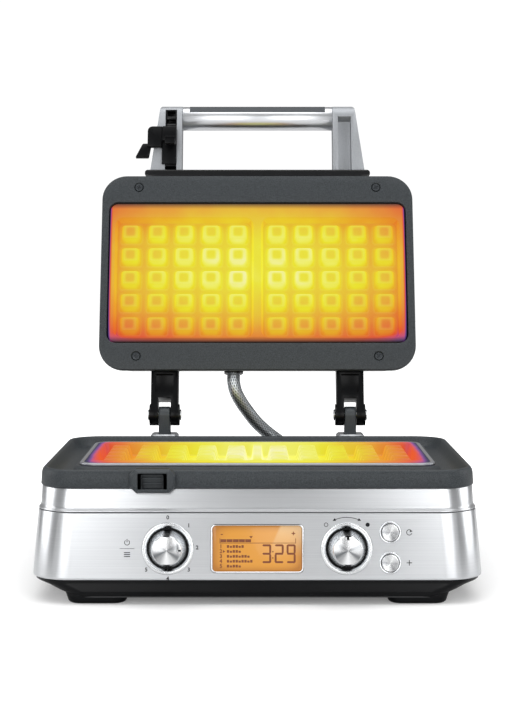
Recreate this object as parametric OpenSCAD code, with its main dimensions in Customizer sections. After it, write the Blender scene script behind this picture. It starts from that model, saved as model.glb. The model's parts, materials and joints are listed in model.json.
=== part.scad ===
// Two-slice waffle maker with a hinged lid, a floating hinge, a display and two dials.
// Millimetres, +Z up. The front faces -Y. The feet stand on Z = 0.

/* [Waffle plates] */
// Width of one waffle
waffle_w = 114.3; // [100:0.1:120]
// Depth of one waffle, front to back
waffle_d = 101.6; // [90:0.1:108]
// Pockets along each side of a waffle
pockets = 5; // [4:1:5]
// Depth of the batter cavity in each plate
cavity_deep = 10; // [6:0.5:11]
// Height of the lower plate's rim above the table
plate_z = 94.5; // [90:0.5:100]
// How far the cavities sit behind the middle of the plate
cavity_back = 4.5; // [0:0.5:6]

/* [Body] */
// Width of the body at its widest
body_w = 321; // [315:1:330]
// Depth of the body at its widest
body_d = 248; // [246:1:252]
// Radius of the body's upright corners
body_r = 28; // [20:1:34]
// Lean of the front, sides and back, in degrees
draft = 5; // [4:0.5:6]
// Distance from the middle of the waffle plate to the middle of the opened appliance
plate_back = 46.8; // [40:0.1:55]

/* [Lid and hinge] */
// How far the lid stands open, in degrees from closed
lid_open = 108; // [100:1:112]
// Hinge line behind the middle of the waffle plate
hinge_y = 120.5; // [119:0.5:122]
// Hinge line above the table
hinge_z = 110.5; // [109:0.5:113]
// Hinge centre to the middle of the body, left and right
hinge_x = 77.6; // [70:0.1:82]
// How far the floating hinge can rise
float_travel = 5; // [3:0.5:5]

/* [Handle and latch] */
// Outside diameter of the grip tube
grip_d = 21; // [18:0.5:22]
// Distance from the hinge line to the middle of the grip tube
grip_reach = 265.5; // [262:0.5:270]
// Free length of the grip tube between the arms
grip_len = 130.6; // [120:0.1:134]

/* [Controls] */
// Dial centres, left and right of the middle
dial_x = 63; // [60:0.5:66]
// Height of the dials and of the display's middle
dial_z = 39.6; // [38:0.1:42]
// Buttons' distance from the middle
button_x = 93.5; // [92:0.1:96]
// Height of the upper and the lower button
button_z = [51, 29.7]; // [25:0.1:56]

/* [Hidden] */

$fn = 48;
corner_steps = 6;
eps = 0.1;
slack = 0.05;

// Body: the skin leans inwards above skin_base_z, where it is widest.
skin_base_z = 25;
skirt_z = 17;
seam_z = 65;
band_top_z = 82;
cover_z = 5;
cover_top_z = 8;
sheet = 1;
body_yc = 16;
wall_out = 1.2;
wall_in = 3.5;
chassis_top_z = 81;

// Tray and plates
tray_yc = 2;
plate_w = 258;
plate_d = 132;
plate_thick = 14.5;
divider = 6;
cavity_margin = 2.1;
cavity_w = waffle_w + 2 * cavity_margin;
cavity_d = waffle_d + 2 * cavity_margin;
peg_foot = [17.4, 15.4];
peg_top = 0.72;
peg_h = cavity_deep - 0.8;

// Lid, in its own frame: the hinge line is the origin, and the closed lid reaches to -Y.
mate_z = -15.5;
flange_w = 265.6;
flange_near = 35;
flange_far = 206.5;
flange_yc = -(flange_near + flange_far) / 2;
flange_d = flange_far - flange_near;
flange_top_z = mate_z + 5;
recess_w = 253;
recess_d = 124;
upper_yc = -hinge_y;
upper_face_z = mate_z + 1;
housing_near = 40;
housing_far = 206.4;
housing_top_z = 24.5;
cover_peak_z = 38;
trim_far = 213;
arm_inner_x = grip_len / 2 + eps;
grip_z = 1;
ear_r = 9;
pin_r = 3;
post_w = 9.6;
post_d = 14;
latch_y = -220;
latch_z = -4;
latch_x = -75;
latch_pin_r = 2;

// Cable conduit from the lid to the back of the body, by hand-chosen points
conduit_r = 5.5;
gland_dir = [0.79, 0, -0.61];
conduit_route = [
    [-20, 133.49, 144.06], [-20, 131.23, 137.12], [-18.2, 131, 129], [-14, 133.2, 120.5],
    [-8.4, 136.4, 112], [-0.6, 140, 101.8], [9.6, 143.6, 92.2], [22, 146.2, 82.9],
    [35, 147.6, 74.2], [48.6, 148, 65.4]
];

// ---------- shared shapes ----------

// A quarter turn of points round [cx, cy]
function corner(cx, cy, r, start) =
    [for (i = [0 : corner_steps]) let (t = start + 90 * i / corner_steps)
        [cx + r * cos(t), cy + r * sin(t)]];

// Outline of a rounded rectangle, centred at [0, yc]
function outline(w, d, r, yc = 0) = concat(
    corner(w / 2 - r, yc + d / 2 - r, r, 0), corner(r - w / 2, yc + d / 2 - r, r, 90),
    corner(r - w / 2, yc + r - d / 2, r, 180), corner(w / 2 - r, yc + r - d / 2, r, 270));

// A skin through rounded rectangles [z, width, depth, corner radius, yc]. With loop the
// last one joins the first, which makes a hollow ring; without it both ends are capped.
module skin(rings, loop = false) {
    n = 4 * (corner_steps + 1);
    last = len(rings);
    points = [for (s = rings) for (p = outline(s[1], s[2], s[3], s[4])) [p.x, p.y, s[0]]];
    sides = [for (k = [0 : last - (loop ? 1 : 2)]) for (j = [0 : n - 1])
        let (a = k * n, b = ((k + 1) % last) * n, j2 = (j + 1) % n)
        each [[a + j2, a + j, b + j], [a + j2, b + j, b + j2]]];
    caps = loop ? [] : [
        [for (j = [0 : n - 1]) j],
        [for (j = [n - 1 : -1 : 0]) (last - 1) * n + j]
    ];
    polyhedron(points, concat(sides, caps), convexity = 6);
}

function unit(v) = v / norm(v);

// A round tube along a route, with flat ends square to the route
module tube_along(route, r, sides, ref) {
    last = len(route) - 1;
    points = [for (i = [0 : last])
        let (t = unit(route[min(i + 1, last)] - route[max(i - 1, 0)]),
             u = unit(cross(ref, t)), v = cross(t, u))
        for (k = [0 : sides - 1])
            route[i] + r * (u * cos(360 * k / sides) + v * sin(360 * k / sides))];
    walls = [for (i = [0 : last - 1]) for (k = [0 : sides - 1])
        let (a = i * sides, b = a + sides, k2 = (k + 1) % sides)
        each [[a + k2, a + k, b + k], [a + k2, b + k, b + k2]]];
    ends = [[for (k = [0 : sides - 1]) k], [for (k = [sides - 1 : -1 : 0]) last * sides + k]];
    polyhedron(points, concat(walls, ends), convexity = 6);
}

// Size of the body's skin at a height, drawn in by inset: [z, width, depth, radius, yc]
function lean(z) = (z - skin_base_z) * tan(draft);
function body_ring(z, inset = 0) =
    [z, body_w - 2 * (lean(z) + inset), body_d - 2 * (lean(z) + inset), body_r - inset, body_yc];
front_y = body_yc - body_d / 2 + lean(dial_z);
function back_y(z) = body_yc + body_d / 2 - lean(z);

// The plate's frame: its middle is the origin in X and Y
module at_plate() {
    translate([0, -plate_back, 0]) children();
}

// The opened lid's frame
module at_lid() {
    translate([0, hinge_y - plate_back, hinge_z]) rotate([-lid_open, 0, 0]) children();
}

// On the front panel: X to the right, Y up the panel, Z straight out of it
module at_panel(x = 0, z = dial_z) {
    up = (z - dial_z) / cos(draft);
    translate([0, front_y - plate_back, dial_z]) rotate([90 - draft, 0, 0])
        translate([x, up, 0]) children();
}

module disc(r, z0, z1) {
    translate([0, 0, z0]) cylinder(r = r, h = z1 - z0);
}

// A block between two corners
module block(low, high) {
    translate(low) cube(high - low);
}

module left_and_right(x) {
    for (side = [-1, 1]) translate([side * x, 0, 0]) children();
}

// A round bar along X, from x0 to x1
module bar_x(r, x0, x1) {
    translate([x0, 0, 0]) rotate([0, 90, 0]) cylinder(r = r, h = x1 - x0);
}

// Everything that passes through the body's front and back walls
module wall_openings() {
    left_and_right(dial_x) at_panel() disc(17.2, -12, 12);
    for (z = button_z) at_panel(button_x, z) disc(7.6, -12, 12);
    at_panel() block([-33, -17.4, -12], [33, 17.4, 12]);
    at_plate() translate([66, back_y(50) - 12, 50]) rotate([-90, 0, 0]) cylinder(r = 7, h = 24);
    at_plate() translate([-60, back_y(36) - 12, 36]) rotate([-90, 0, 0]) cylinder(r = 8, h = 24);
}

// ---------- base ----------

foot_x = 113;
foot_y = [-93, 112];
screw_x = 124;
screw_y = [-70, 16, 104];

module base_cover() color("#1b1c1e") at_plate() {
    difference() {
        skin([[cover_z, 261, 237, 14, body_yc - 5], [cover_top_z, 261, 237, 14, body_yc - 5]]);
        for (y = screw_y) left_and_right(screw_x) translate([0, y, 0]) {
            disc(1.8, cover_z - 1, cover_top_z + 1);
            disc(3.6, cover_z - 1, cover_z + 1.6);
        }
        for (i = [-5 : 5]) block([i * 9 - 2, -50, cover_z - 1], [i * 9 + 2, -22, cover_top_z + 1]);
        for (i = [-5 : 5]) block([i * 9 - 2, 48, cover_z - 1], [i * 9 + 2, 76, cover_top_z + 1]);
    }
    for (x = [-90, 0], y = [-14, 42]) translate([x, y, 0]) disc(3.4, cover_top_z, 20);
}

module rubber_feet() color("#101112") at_plate()
    left_and_right(foot_x) for (y = foot_y)
        skin([
            [0, 33, 18, 5, y], [1, 35.4, 20, 6, y], [cover_z, 35.4, 20, 6, y]
        ]);

module base_screws() color("#8d9094") at_plate()
    for (y = screw_y) left_and_right(screw_x) translate([0, y, 0]) difference() {
        union() {
            disc(3.3, cover_z + 0.2, cover_z + 1.6);
            disc(1.6, cover_z + 1.5, 17);
        }
        block([-2.4, -0.4, cover_z - 1], [2.4, 0.4, cover_z + 0.8]);
        block([-0.4, -2.4, cover_z - 1], [0.4, 2.4, cover_z + 0.8]);
    }

module chassis() color("#17181a") difference() {
    union() {
        at_plate() skin([
            [cover_z, 272, 240, 18, body_yc - 3.5],
            body_ring(skirt_z),
            body_ring(skirt_z, wall_out),
            body_ring(chassis_top_z, wall_out),
            body_ring(chassis_top_z, wall_in),
            body_ring(skirt_z + 2, wall_in),
            [cover_top_z, 262, 238, 14.5, body_yc - 5],
            [cover_z, 262, 238, 14.5, body_yc - 5]
        ], loop = true);
        // Screw bosses with their webs, and the seats that the hinge yoke comes down on
        at_plate() for (y = screw_y) left_and_right(screw_x) translate([0, y, 0])
            disc(6, cover_top_z, 22);
        at_plate() for (y = screw_y, side = [-1, 1])
            translate([side * 140, y, 18.5]) cube([28, 3, 7], center = true);
        at_plate() left_and_right(62) block([-3, 112, 46], [3, 134.5, 56]);
    }
    at_plate() for (y = screw_y) left_and_right(screw_x) translate([0, y, 0])
        disc(1.65, cover_z, 18);
    wall_openings();
}

module housing_wrap() color("#c4c6c8") difference() {
    at_plate() skin([
        body_ring(skirt_z + 0.3), body_ring(seam_z - 0.4),
        body_ring(seam_z - 0.4, sheet), body_ring(skirt_z + 0.3, sheet)
    ], loop = true);
    wall_openings();
}

module housing_band() color("#b9bbbd") at_plate() skin([
    body_ring(seam_z + 0.2), body_ring(band_top_z - 0.2),
    body_ring(band_top_z - 0.2, sheet), body_ring(seam_z + 0.2, sheet)
], loop = true);

module drip_tray() color("#4b4f53") at_plate() skin([
    [band_top_z, 310.4, 210.2, 26, tray_yc],
    [plate_z - 1.2, 308.4, 208.2, 25, tray_yc],
    [plate_z, 306.2, 206, 24, tray_yc],
    [plate_z, 301, 200.8, 22, tray_yc],
    [plate_z - 1, 299.2, 199, 21, tray_yc],
    [plate_z - 8, 290, 190, 17, tray_yc],
    [plate_z - 8.5, 274, 150, 15, 0],
    [plate_z - 2, 265.4, 139.4, 13, 0],
    [plate_z - 2, 260, 134, 12, 0],
    [plate_z - 11, 260, 134, 12, 0],
    [plate_z - 11, 292, 190, 16, tray_yc],
    [band_top_z, 304, 204, 23, tray_yc]
], loop = true);

deck_top_z = 88.5;
module rear_deck() color("#202225") difference() {
    at_plate() skin([
        [band_top_z, 309.6, body_ring(band_top_z)[2], body_r, body_yc],
        [deck_top_z - 1, 309, body_ring(deck_top_z)[2], body_r, body_yc],
        [deck_top_z, 306.6, body_ring(deck_top_z)[2] - 2.4, body_r - 1, body_yc]
    ]);
    at_plate() skin([
        [band_top_z - 1, 311.6, 211.4, 26.5, tray_yc], [deck_top_z + 1, 311.6, 211.4, 26.5, tray_yc]
    ]);
    at_plate() left_and_right(hinge_x) translate([0, hinge_y, 0])
        block([-7.8, -9.9, 80], [7.8, 9.9, 90]);
}

// Metal collars that the floating hinge's posts slide in
module post_guides() color("#b4b6b9") at_plate()
    left_and_right(hinge_x) translate([0, hinge_y, 0]) difference() {
        union() {
            skin([
                [deck_top_z + eps, 23, 22, 4, 0], [93.6, 23, 22, 4, 0], [95, 20, 19, 3, 0]
            ]);
            block([-7.5, -9.6, 65.3], [7.5, 9.6, 90]);
        }
        block([-post_w / 2 - 0.3, -post_d / 2 - 0.3, 60], [post_w / 2 + 0.3, post_d / 2 + 0.3, 97]);
    }

// ---------- waffle plates ----------

// The pegs that press the pockets into two waffles, standing on z = 0
module pegs() {
    pitch = [waffle_w / pockets, waffle_d / pockets];
    half = (pockets - 1) / 2;
    for (side = [-1, 1], i = [-half : half], j = [-half : half])
        translate([side * (cavity_w + divider) / 2 + i * pitch.x, j * pitch.y, 0])
            linear_extrude(peg_h, scale = peg_top) square(peg_foot, center = true);
}

// A cast plate with its open side up, its rim at z = 0 and its middle at the origin
module waffle_plate(w, d, r) {
    difference() {
        skin([
            [-plate_thick, w - 3, d - 3, r - 1, 0], [-plate_thick + 2, w, d, r, 0],
            [-1, w, d, r, 0], [0, w - 2, d - 2, r - 1, 0]
        ]);
        for (side = [-1, 1]) translate([side * (cavity_w + divider) / 2, 0, 0]) skin([
            [-cavity_deep, cavity_w - 3, cavity_d - 3, 6, cavity_back],
            [1, cavity_w, cavity_d, 7, cavity_back]
        ]);
    }
    translate([0, cavity_back, -cavity_deep]) pegs();
}

module lower_waffle_plate() color("#e08a2c") at_plate()
    translate([0, 0, plate_z]) waffle_plate(plate_w, plate_d, 11);

module upper_waffle_plate() color("#e7a032") at_lid()
    translate([0, upper_yc, upper_face_z]) mirror([0, 0, 1])
        waffle_plate(recess_w - 1.4, recess_d - 1.4, 7.6);

// A heating element bent into an open flat loop, lying at z = 0
module element_loop() {
    rim = outline(210, 86, 30);
    route = [for (i = [0 : len(rim) - corner_steps - 2]) [rim[i].x, rim[i].y, 0]];
    tube_along(concat([[105, -5, 0]], route, [[40, -43, 0]]), 3.3, 8, [0, 0, 1]);
}

module lower_heating_element() color("#5b4a40") at_plate()
    translate([0, 0, plate_z - plate_thick - 3.5]) element_loop();

module upper_heating_element() color("#5b4a40") at_lid()
    translate([0, upper_yc, upper_face_z + plate_thick + 3.5]) element_loop();

// A pressed sheet pan round the element, open upwards, its lip at z = 0
module shield_pan(w, d) {
    skin([
        [-12.4, w - 6, d - 6, 6, 0], [0, w, d, 8, 0], [0, w - 1.6, d - 1.6, 7.2, 0],
        [-11.6, w - 7.6, d - 7.6, 5.2, 0]
    ]);
}

module lower_heat_shield() color("#a7a9ab") at_plate()
    translate([0, 0, plate_z - plate_thick - eps]) shield_pan(248, 122);

module upper_heat_shield() color("#a7a9ab") at_lid()
    translate([0, upper_yc, upper_face_z + plate_thick + eps]) mirror([0, 0, 1])
        shield_pan(244, 116);

// Temperature sensor and fuse under the middle of a plate, its cap at z = 0
module thermostat() {
    disc(8, -7, -eps);
    disc(5, -9.6, -6.9);
    block([-14, -4, -6], [14, 4, -5]);
    for (x = [-3, 3]) translate([x, 0, 0]) block([-0.4, -2, -11], [0.4, 2, -9.5]);
}

module lower_thermostat() color("#d8d2c4") at_plate()
    translate([0, 8, plate_z - plate_thick]) thermostat();

module upper_thermostat() color("#d8d2c4") at_lid()
    translate([0, upper_yc, upper_face_z + plate_thick]) mirror([0, 0, 1]) thermostat();

// ---------- catch ----------

catch_x = -73.6;
catch_w = 32.7;
catch_front_y = -109;
catch_back_y = -103.4;
module catch_outline(grow) {
    w = catch_w / 2 + grow;
    polygon([
        [-w, 83], [-w, 92.5], [-w + 4, 96 + grow], [w - 4, 96 + grow], [w, 92.5], [w, 83],
        [w - 5, 79 - grow], [-w + 5, 79 - grow]
    ]);
}

module latch_catch() color("#3c4043") at_plate() translate([catch_x, 0, 0]) difference() {
    union() {
        hull() {
            translate([0, catch_back_y, 0]) rotate([90, 0, 0]) linear_extrude(3) catch_outline(0);
            translate([0, catch_front_y + 0.2, 0]) rotate([90, 0, 0])
                linear_extrude(0.2) catch_outline(-1.9);
        }
        block([-10.5, catch_front_y, 80.6], [10.5, catch_front_y + 1, 93]);
        block([-12, catch_back_y - 1, plate_z + eps], [12, -99.6, 96]);
    }
    block([-7.5, catch_front_y - 1, 82], [7.5, catch_front_y + 5, 92]);
    for (x = [-6, 6]) block([x - 1.5, catch_front_y - 1, 78], [x + 1.5, catch_front_y + 2, 80]);
}

// ---------- front panel ----------

board_w = 206;
module display_bezel() color("#e9eaec") at_panel() difference() {
    skin([
        [-4, 65.4, 34.2, 3.4, 0], [0, 65.4, 34.2, 3.4, 0]
    ]);
    skin([[-5, 62.4, 32.2, 2.4, 0], [1, 62.4, 32.2, 2.4, 0]]);
}

module display_window() color("#f2a43a") at_panel() skin([
    [-4, 62, 31.8, 2.2, 0], [-0.3, 62, 31.8, 2.2, 0]
]);

module display_module() color("#3f5a44") at_panel() {
    block([-34, -19, -9], [34, 19, -5.4]);
    block([-30, -15, -5.4], [30, 15, -4.2]);
    for (x = [-32, 32], y = [-16, 16]) translate([x, y, 0]) disc(1.4, -13.9, -8.9);
}

module control_board() color("#2e6b4a") at_panel() {
    difference() {
        block([-board_w / 2, -17, -15.5], [board_w / 2, 21, -13.9]);
        for (x = [-99, 99], y = [-14, 18]) translate([x, y, 0]) disc(1.6, -17, -13);
    }
    block([-20, -12, -18.5], [-8, 0, -15.5]);
    block([10, -10, -21], [34, -4, -15.5]);
}

module buzzer() color("#26282b") at_panel(40.5, 30) difference() {
    disc(5.5, -13.8, -6.5);
    disc(1, -9, -6);
}

// Dished ring round a dial: a flange on the panel, a cup through it and a floor
module dial_bezel() rotate_extrude($fn = 96) polygon([
    [3.7, -5], [17, -5], [17, 0], [18.5, 0], [18.5, 0.5], [18, 0.9], [17.2, 0.9], [16.4, 0.3],
    [14.1, -3], [3.7, -3]
]);

module menu_dial_bezel() color("#dcdee0") at_panel(-dial_x) dial_bezel();
module browning_dial_bezel() color("#dcdee0") at_panel(dial_x) dial_bezel();

module encoder() difference() {
    union() {
        block([-6, -6.5, -13.8], [6, 6.5, -9]);
        disc(4.6, -9.1, -5.1);
    }
    disc(3 + slack, -14, -4);
}

module menu_encoder() color("#5c6064") at_panel(-dial_x) encoder();
module browning_encoder() color("#5c6064") at_panel(dial_x) encoder();

module shaft() {
    disc(3, -13.6, 11);
}

module menu_dial_shaft() color("#a9abad") at_panel(-dial_x) shaft();
module browning_dial_shaft() color("#a9abad") at_panel(dial_x) shaft();

// Turned knob: a wide skirt in the dished bezel, a waist and a flat face
module dial(mark_turn) {
    difference() {
        rotate_extrude($fn = 96) polygon([
            [0, 11.6], [0, 16.4], [9.2, 16.4], [9.9, 15.7], [10.6, 8], [11.2, 4], [12.2, 1.2],
            [13.3, 0.2], [13.3, -0.8], [12.8, -1.6], [4.2, -1.6], [4.2, 0.6], [3.02, 0.6],
            [3.02, 11.6]
        ]);
        rotate([0, 0, mark_turn]) block([-0.8, 6, 15.6], [0.8, 12, 17.4]);
    }
}

module menu_dial() color("#cfd1d4") at_panel(-dial_x) dial(-90);
module browning_dial() color("#cfd1d4") at_panel(dial_x) dial(0);

module button_rings() color("#d4d6d9")
    for (z = button_z) at_panel(button_x, z) rotate_extrude($fn = 72) polygon([
        [6.22, -5], [7.4, -5], [7.4, 0], [8, 0], [8, 0.6], [7.5, 1.1], [6.8, 1.1], [6.22, 0.7]
    ]);

module push_button() {
    rotate_extrude($fn = 64) polygon([
        [0, -10.2], [1.8, -10.2], [1.8, -4.4], [6.15, -4.4], [6.15, 1.7], [5.6, 2.2], [0, 2.2]
    ]);
}

module restart_button() color("#c3c5c8") at_panel(button_x, button_z[0]) push_button();
module extra_time_button() color("#c3c5c8") at_panel(button_x, button_z[1]) push_button();

module tact_switches() color("#222428")
    for (z = button_z) at_panel(button_x, z) {
        block([-3, -3, -13.8], [3, 3, -12.4]);
        disc(1.5, -12.5, -12);
    }

// A coil spring between a button's shoulder and the board, as stacked turns
module button_spring() {
    turns = 4;
    for (i = [0 : turns - 1]) translate([0, 0, -12.8 + i * 2.5])
        rotate_extrude() translate([4.6, 0]) circle(r = 0.45, $fn = 16);
}

module upper_button_spring() color("#b0b2b5") at_panel(button_x, button_z[0]) button_spring();
module lower_button_spring() color("#b0b2b5") at_panel(button_x, button_z[1]) button_spring();

// ---------- inside the base ----------

module power_board() color("#3d7a52") at_plate() difference() {
    block([-96, -20, 20], [6, 48, 21.6]);
    for (x = [-90, 0], y = [-14, 42]) translate([x, y, 0]) disc(1.6, 19, 23);
}

module transformer() color("#c9a227") at_plate() {
    block([-84, -6, 21.6], [-48, 24, 27]);
    block([-78, -1, 27], [-54, 19, 46]);
}

module power_relay() color("#2f6fb0") at_plate()
    skin([[21.7, 19, 28, 1, 8], [38, 19, 28, 1, 8]]);

module cord_inlet() color("#17181a") at_plate() translate([-60, 0, 36]) rotate([-90, 0, 0])
    difference() {
        union() {
            disc(7.6, 128, 140.2);
            disc(11, 140.1, 143);
            disc(8.6, 142.9, 150);
        }
        disc(3.7, 120, 160);
    }

// Angled boss at the back that the conduit runs into
gland_mid = [66, 148, 52];
gland_neck = 22;
gland_w = 24;
module conduit_gland() color("#202225") at_plate() {
    difference() {
        translate(gland_mid + [-gland_w / 2, -8.6, -12]) cube([gland_w, 18, gland_w]);
        translate(gland_mid - gland_dir * (gland_neck - 0.1))
            rotate([0, 90 + asin(-gland_dir.z), 0]) translate([0, 0, -20]) cylinder(r = 30, h = 20);
    }
    translate(gland_mid - gland_dir * gland_neck) rotate([0, 90 + asin(-gland_dir.z), 0])
        cylinder(r = 8.4, h = gland_neck);
    translate([66, back_y(50) - 10, 50]) rotate([-90, 0, 0]) cylinder(r = 6.5, h = 13);
}

// ---------- floating hinge ----------

module hinge_posts() color("#34373a") at_plate()
    left_and_right(hinge_x) translate([0, hinge_y, 0]) difference() {
        union() {
            block([-post_w / 2, -post_d / 2 + 0.1, 60], [post_w / 2, post_d / 2 - 0.1, hinge_z]);
            translate([0, 0, hinge_z]) bar_x(post_d / 2, -post_w / 2, post_w / 2);
        }
        translate([0, 0, hinge_z]) bar_x(pin_r + slack, -post_w, post_w);
    }

module hinge_yoke() color("#9a9da0") at_plate()
    block([-hinge_x - 6, hinge_y - 6.8, 56], [hinge_x + 6, hinge_y + 6.8, 60]);

// ---------- lid ----------

module lid_flange() color("#45494d") at_lid() difference() {
    skin([
        [mate_z, flange_w - 2, flange_d - 2, 20, flange_yc],
        [mate_z + 1.2, flange_w, flange_d, 21, flange_yc],
        [flange_top_z - 1, flange_w, flange_d, 21, flange_yc],
        [flange_top_z, flange_w - 2, flange_d - 2, 20, flange_yc]
    ]);
    skin([
        [mate_z - 1, recess_w, recess_d, 8, upper_yc],
        [flange_top_z + 1, recess_w, recess_d, 8, upper_yc]
    ]);
    flange_screw_places() disc(3.7, mate_z - 1, mate_z + 2);
}

screw_wide = 101.5;
screw_near = 47;
screw_far = 196;
module flange_screw_places() {
    for (y = [-screw_near, -screw_far]) left_and_right(screw_wide) translate([0, y, 0]) children();
}

module flange_screws() color("#2a2c2f") at_lid() flange_screw_places() difference() {
    disc(3.5, mate_z + 0.1, mate_z + 1.9);
    disc(1.6, mate_z - 1, mate_z + 1);
}

// Black shell between the flange and the steel cover, with an upright front
function housing_ring(z, w, near, r) =
    [z, w, housing_far - near, r, -(housing_far + near) / 2];
module lid_housing() color("#1d1f21") at_lid() skin([
    housing_ring(housing_top_z - 2.5, 243, housing_near + 7, 14) + [0, 0, -4, 0, 2],
    housing_ring(3, 252.6, housing_near + 3, 17) + [0, 0, -5, 0, 2.5],
    housing_ring(flange_top_z + eps, 254, housing_near + 3, 17) + [0, 0, -5, 0, 2.5],
    housing_ring(flange_top_z + eps, 259.6, housing_near, 20),
    housing_ring(6, 258.6, housing_near, 20),
    housing_ring(housing_top_z - 1, 249, housing_near + 3, 17),
    housing_ring(housing_top_z, 247, housing_near + 4, 16)
]);

// Brushed steel pressing over the top of the lid
cover_yc = -(housing_far + housing_near) / 2 - 1;
module lid_cover() color("#c2c4c7") at_lid() skin([
    [cover_peak_z - 1.2, 206, 126, 20, cover_yc],
    [cover_peak_z - 4, 226, 145, 22, cover_yc],
    [housing_top_z + eps, 238.6, 157.6, 15, cover_yc],
    [housing_top_z + eps, 241, 160, 16, cover_yc],
    [cover_peak_z - 4, 230, 149, 23, cover_yc],
    [cover_peak_z - 1.2, 220, 139, 22, cover_yc],
    [cover_peak_z, 206, 126, 20, cover_yc]
]);

// Places of the screws that hold the handle arms on through the trim
module handle_screw_places() for (p = [[78, 8], [86.5, -4]])
    left_and_right(p.x) translate([0, 0, p.y]) rotate([90, 0, 0]) children();

module lid_trim() color("#121314") at_lid() difference() {
    skin([
        [-14, 193, 5.4, 1.2, -209.8], [-12.6, 194, 6.3, 1.6, -209.8],
        [14.6, 194, 6.3, 1.6, -209.8], [16, 193, 5.4, 1.2, -209.8]
    ]);
    handle_screw_places() disc(2.2, 200, 220);
}

module lid_conduit_gland() color("#2a2c2f") at_lid()
    translate([-20, 0, 2]) rotate([90, 0, 0]) {
        disc(8, 36, 39.8);
        disc(6.8, 35.99, 37);
    }

// Clevis arm: two ears round the pin, a bridge and a bracket under the lid's back edge
module hinge_arm() {
    half = 11.3;
    difference() {
        union() {
            for (side = [-1, 1]) {
                low = side > 0 ? post_w / 2 + 0.5 : -post_w / 2 - 7.7;
                bar_x(ear_r, low, low + 7.2);
                block([max(low, -half), -16, -ear_r + 0.1], [min(low + 7.2, half), 0, ear_r - 0.1]);
            }
            block([-half, -39.8, -ear_r + 0.1], [half, -13, 11]);
        }
        bar_x(pin_r + 0.02, -20, 20);
        block([-7.4, -33, -10], [7.4, -17, -4]);
    }
}

module left_hinge_arm() color("#15161a") at_lid() translate([-hinge_x, 0, 0]) hinge_arm();
module right_hinge_arm() color("#15161a") at_lid() translate([hinge_x, 0, 0]) hinge_arm();

module hinge_pins() color("#c9cbce") at_lid() left_and_right(hinge_x) {
    bar_x(pin_r, -13.2, 13.2);
    for (side = [-1, 1]) {
        low = side > 0 ? 12.55 : -14;
        bar_x(4.6, low, low + 1.45);
    }
}

// One die-cast handle arm, as the right one. A trough runs along its underside.
module handle_arm(trough_w, trough_far) {
    root_y = -trim_far - eps;
    end_y = -grip_reach - grip_d / 2;
    difference() {
        intersection() {
            translate([0, 0, -20]) linear_extrude(50) polygon([
                [0, root_y], [27.2, root_y], [19.2, end_y + 4], [17.6, end_y + 1.2],
                [15, end_y], [0, end_y]
            ]);
            rotate([90, 0, 90]) linear_extrude(40) polygon(concat(
                [[root_y, 13.5], [root_y, -9.8]],
                [for (t = [-100 : -10 : -260])
                    [-grip_reach + grip_d / 2 * cos(t), grip_z + (grip_d / 2 + 0.5) * sin(t)]]
            ));
        }
        block([4.6, -trough_far, -14], [4.6 + trough_w, root_y + 1, 2.5]);
        translate([-arm_inner_x, 0, 0]) handle_screw_places() disc(1.7, 210, 220);
    }
    translate([0, -grip_reach, grip_z]) bar_x(9.4, -8, 0.1);
}

module left_handle_arm() color("#b3b5b8") at_lid() difference() {
    mirror([1, 0, 0]) translate([arm_inner_x, 0, 0]) handle_arm(10, 270);
    translate([0, latch_y, latch_z]) bar_x(latch_pin_r + 0.02, -100, -60);
}

module right_handle_arm() color("#b3b5b8") at_lid()
    translate([arm_inner_x, 0, 0]) handle_arm(11.3, 263.5);

module handle_screws() color("#8d9094") at_lid() handle_screw_places() {
    disc(1.6, 207.2, 218);
    disc(2.1, 206.7, 209);
}

module grip_tube() color("#c8cacd") at_lid()
    translate([0, -grip_reach, grip_z]) difference() {
        bar_x(grip_d / 2, -grip_len / 2, grip_len / 2);
        bar_x(9.5, -grip_len, grip_len);
    }

module latch_pin() color("#c9cbce") at_lid() translate([0, latch_y, latch_z])
    bar_x(latch_pin_r, -84, -66);

// Latch lever: a boss on the pin, a plate under the arm, a thumb tab and a hook
module latch_lever() color("#1a1b1d") at_lid() difference() {
    union() {
        translate([0, latch_y, latch_z]) bar_x(4.2, latch_x - 4.6, latch_x + 4.6);
        block([latch_x - 4.6, -233, -10.6], [latch_x + 4.6, -217, -5]);
        block([latch_x - 7.6, -252.6, -12.4], [latch_x + 4.8, -218.6, -10.4]);
        block([latch_x - 7.6, -252.6, -15], [latch_x + 4.8, -239, -10.4]);
        block([-95, -252.4, -15], [latch_x - 7.5, -233.4, -10.4]);
        block([-105.4, -237, -13.6], [-91.6, -224.4, -8.6]);
        block([latch_x - 4.4, -239.5, -24.6], [latch_x + 4.2, -235.5, -10.6]);
        block([latch_x - 4.4, -239.5, -24.6], [latch_x + 4.2, -232.6, -21.8]);
    }
    translate([0, latch_y, latch_z]) bar_x(latch_pin_r + slack, -100, -60);
}

module conduit() color("#a9abad") at_plate() tube_along(conduit_route, conduit_r, 12, [0, 1, 0]);

base_cover();
rubber_feet();
base_screws();
chassis();
housing_wrap();
housing_band();
drip_tray();
rear_deck();
post_guides();
lower_waffle_plate();
lower_heating_element();
lower_heat_shield();
lower_thermostat();
latch_catch();
display_bezel();
display_window();
display_module();
control_board();
power_board();
transformer();
power_relay();
buzzer();
menu_dial_bezel();
browning_dial_bezel();
menu_encoder();
browning_encoder();
button_rings();
tact_switches();
upper_button_spring();
lower_button_spring();
cord_inlet();
conduit_gland();
hinge_posts();
hinge_yoke();
lid_flange();
upper_waffle_plate();
upper_heating_element();
upper_heat_shield();
upper_thermostat();
lid_housing();
lid_cover();
lid_trim();
lid_conduit_gland();
left_hinge_arm();
right_hinge_arm();
hinge_pins();
flange_screws();
left_handle_arm();
right_handle_arm();
handle_screws();
grip_tube();
latch_pin();
latch_lever();
menu_dial();
menu_dial_shaft();
browning_dial();
browning_dial_shaft();
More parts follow.
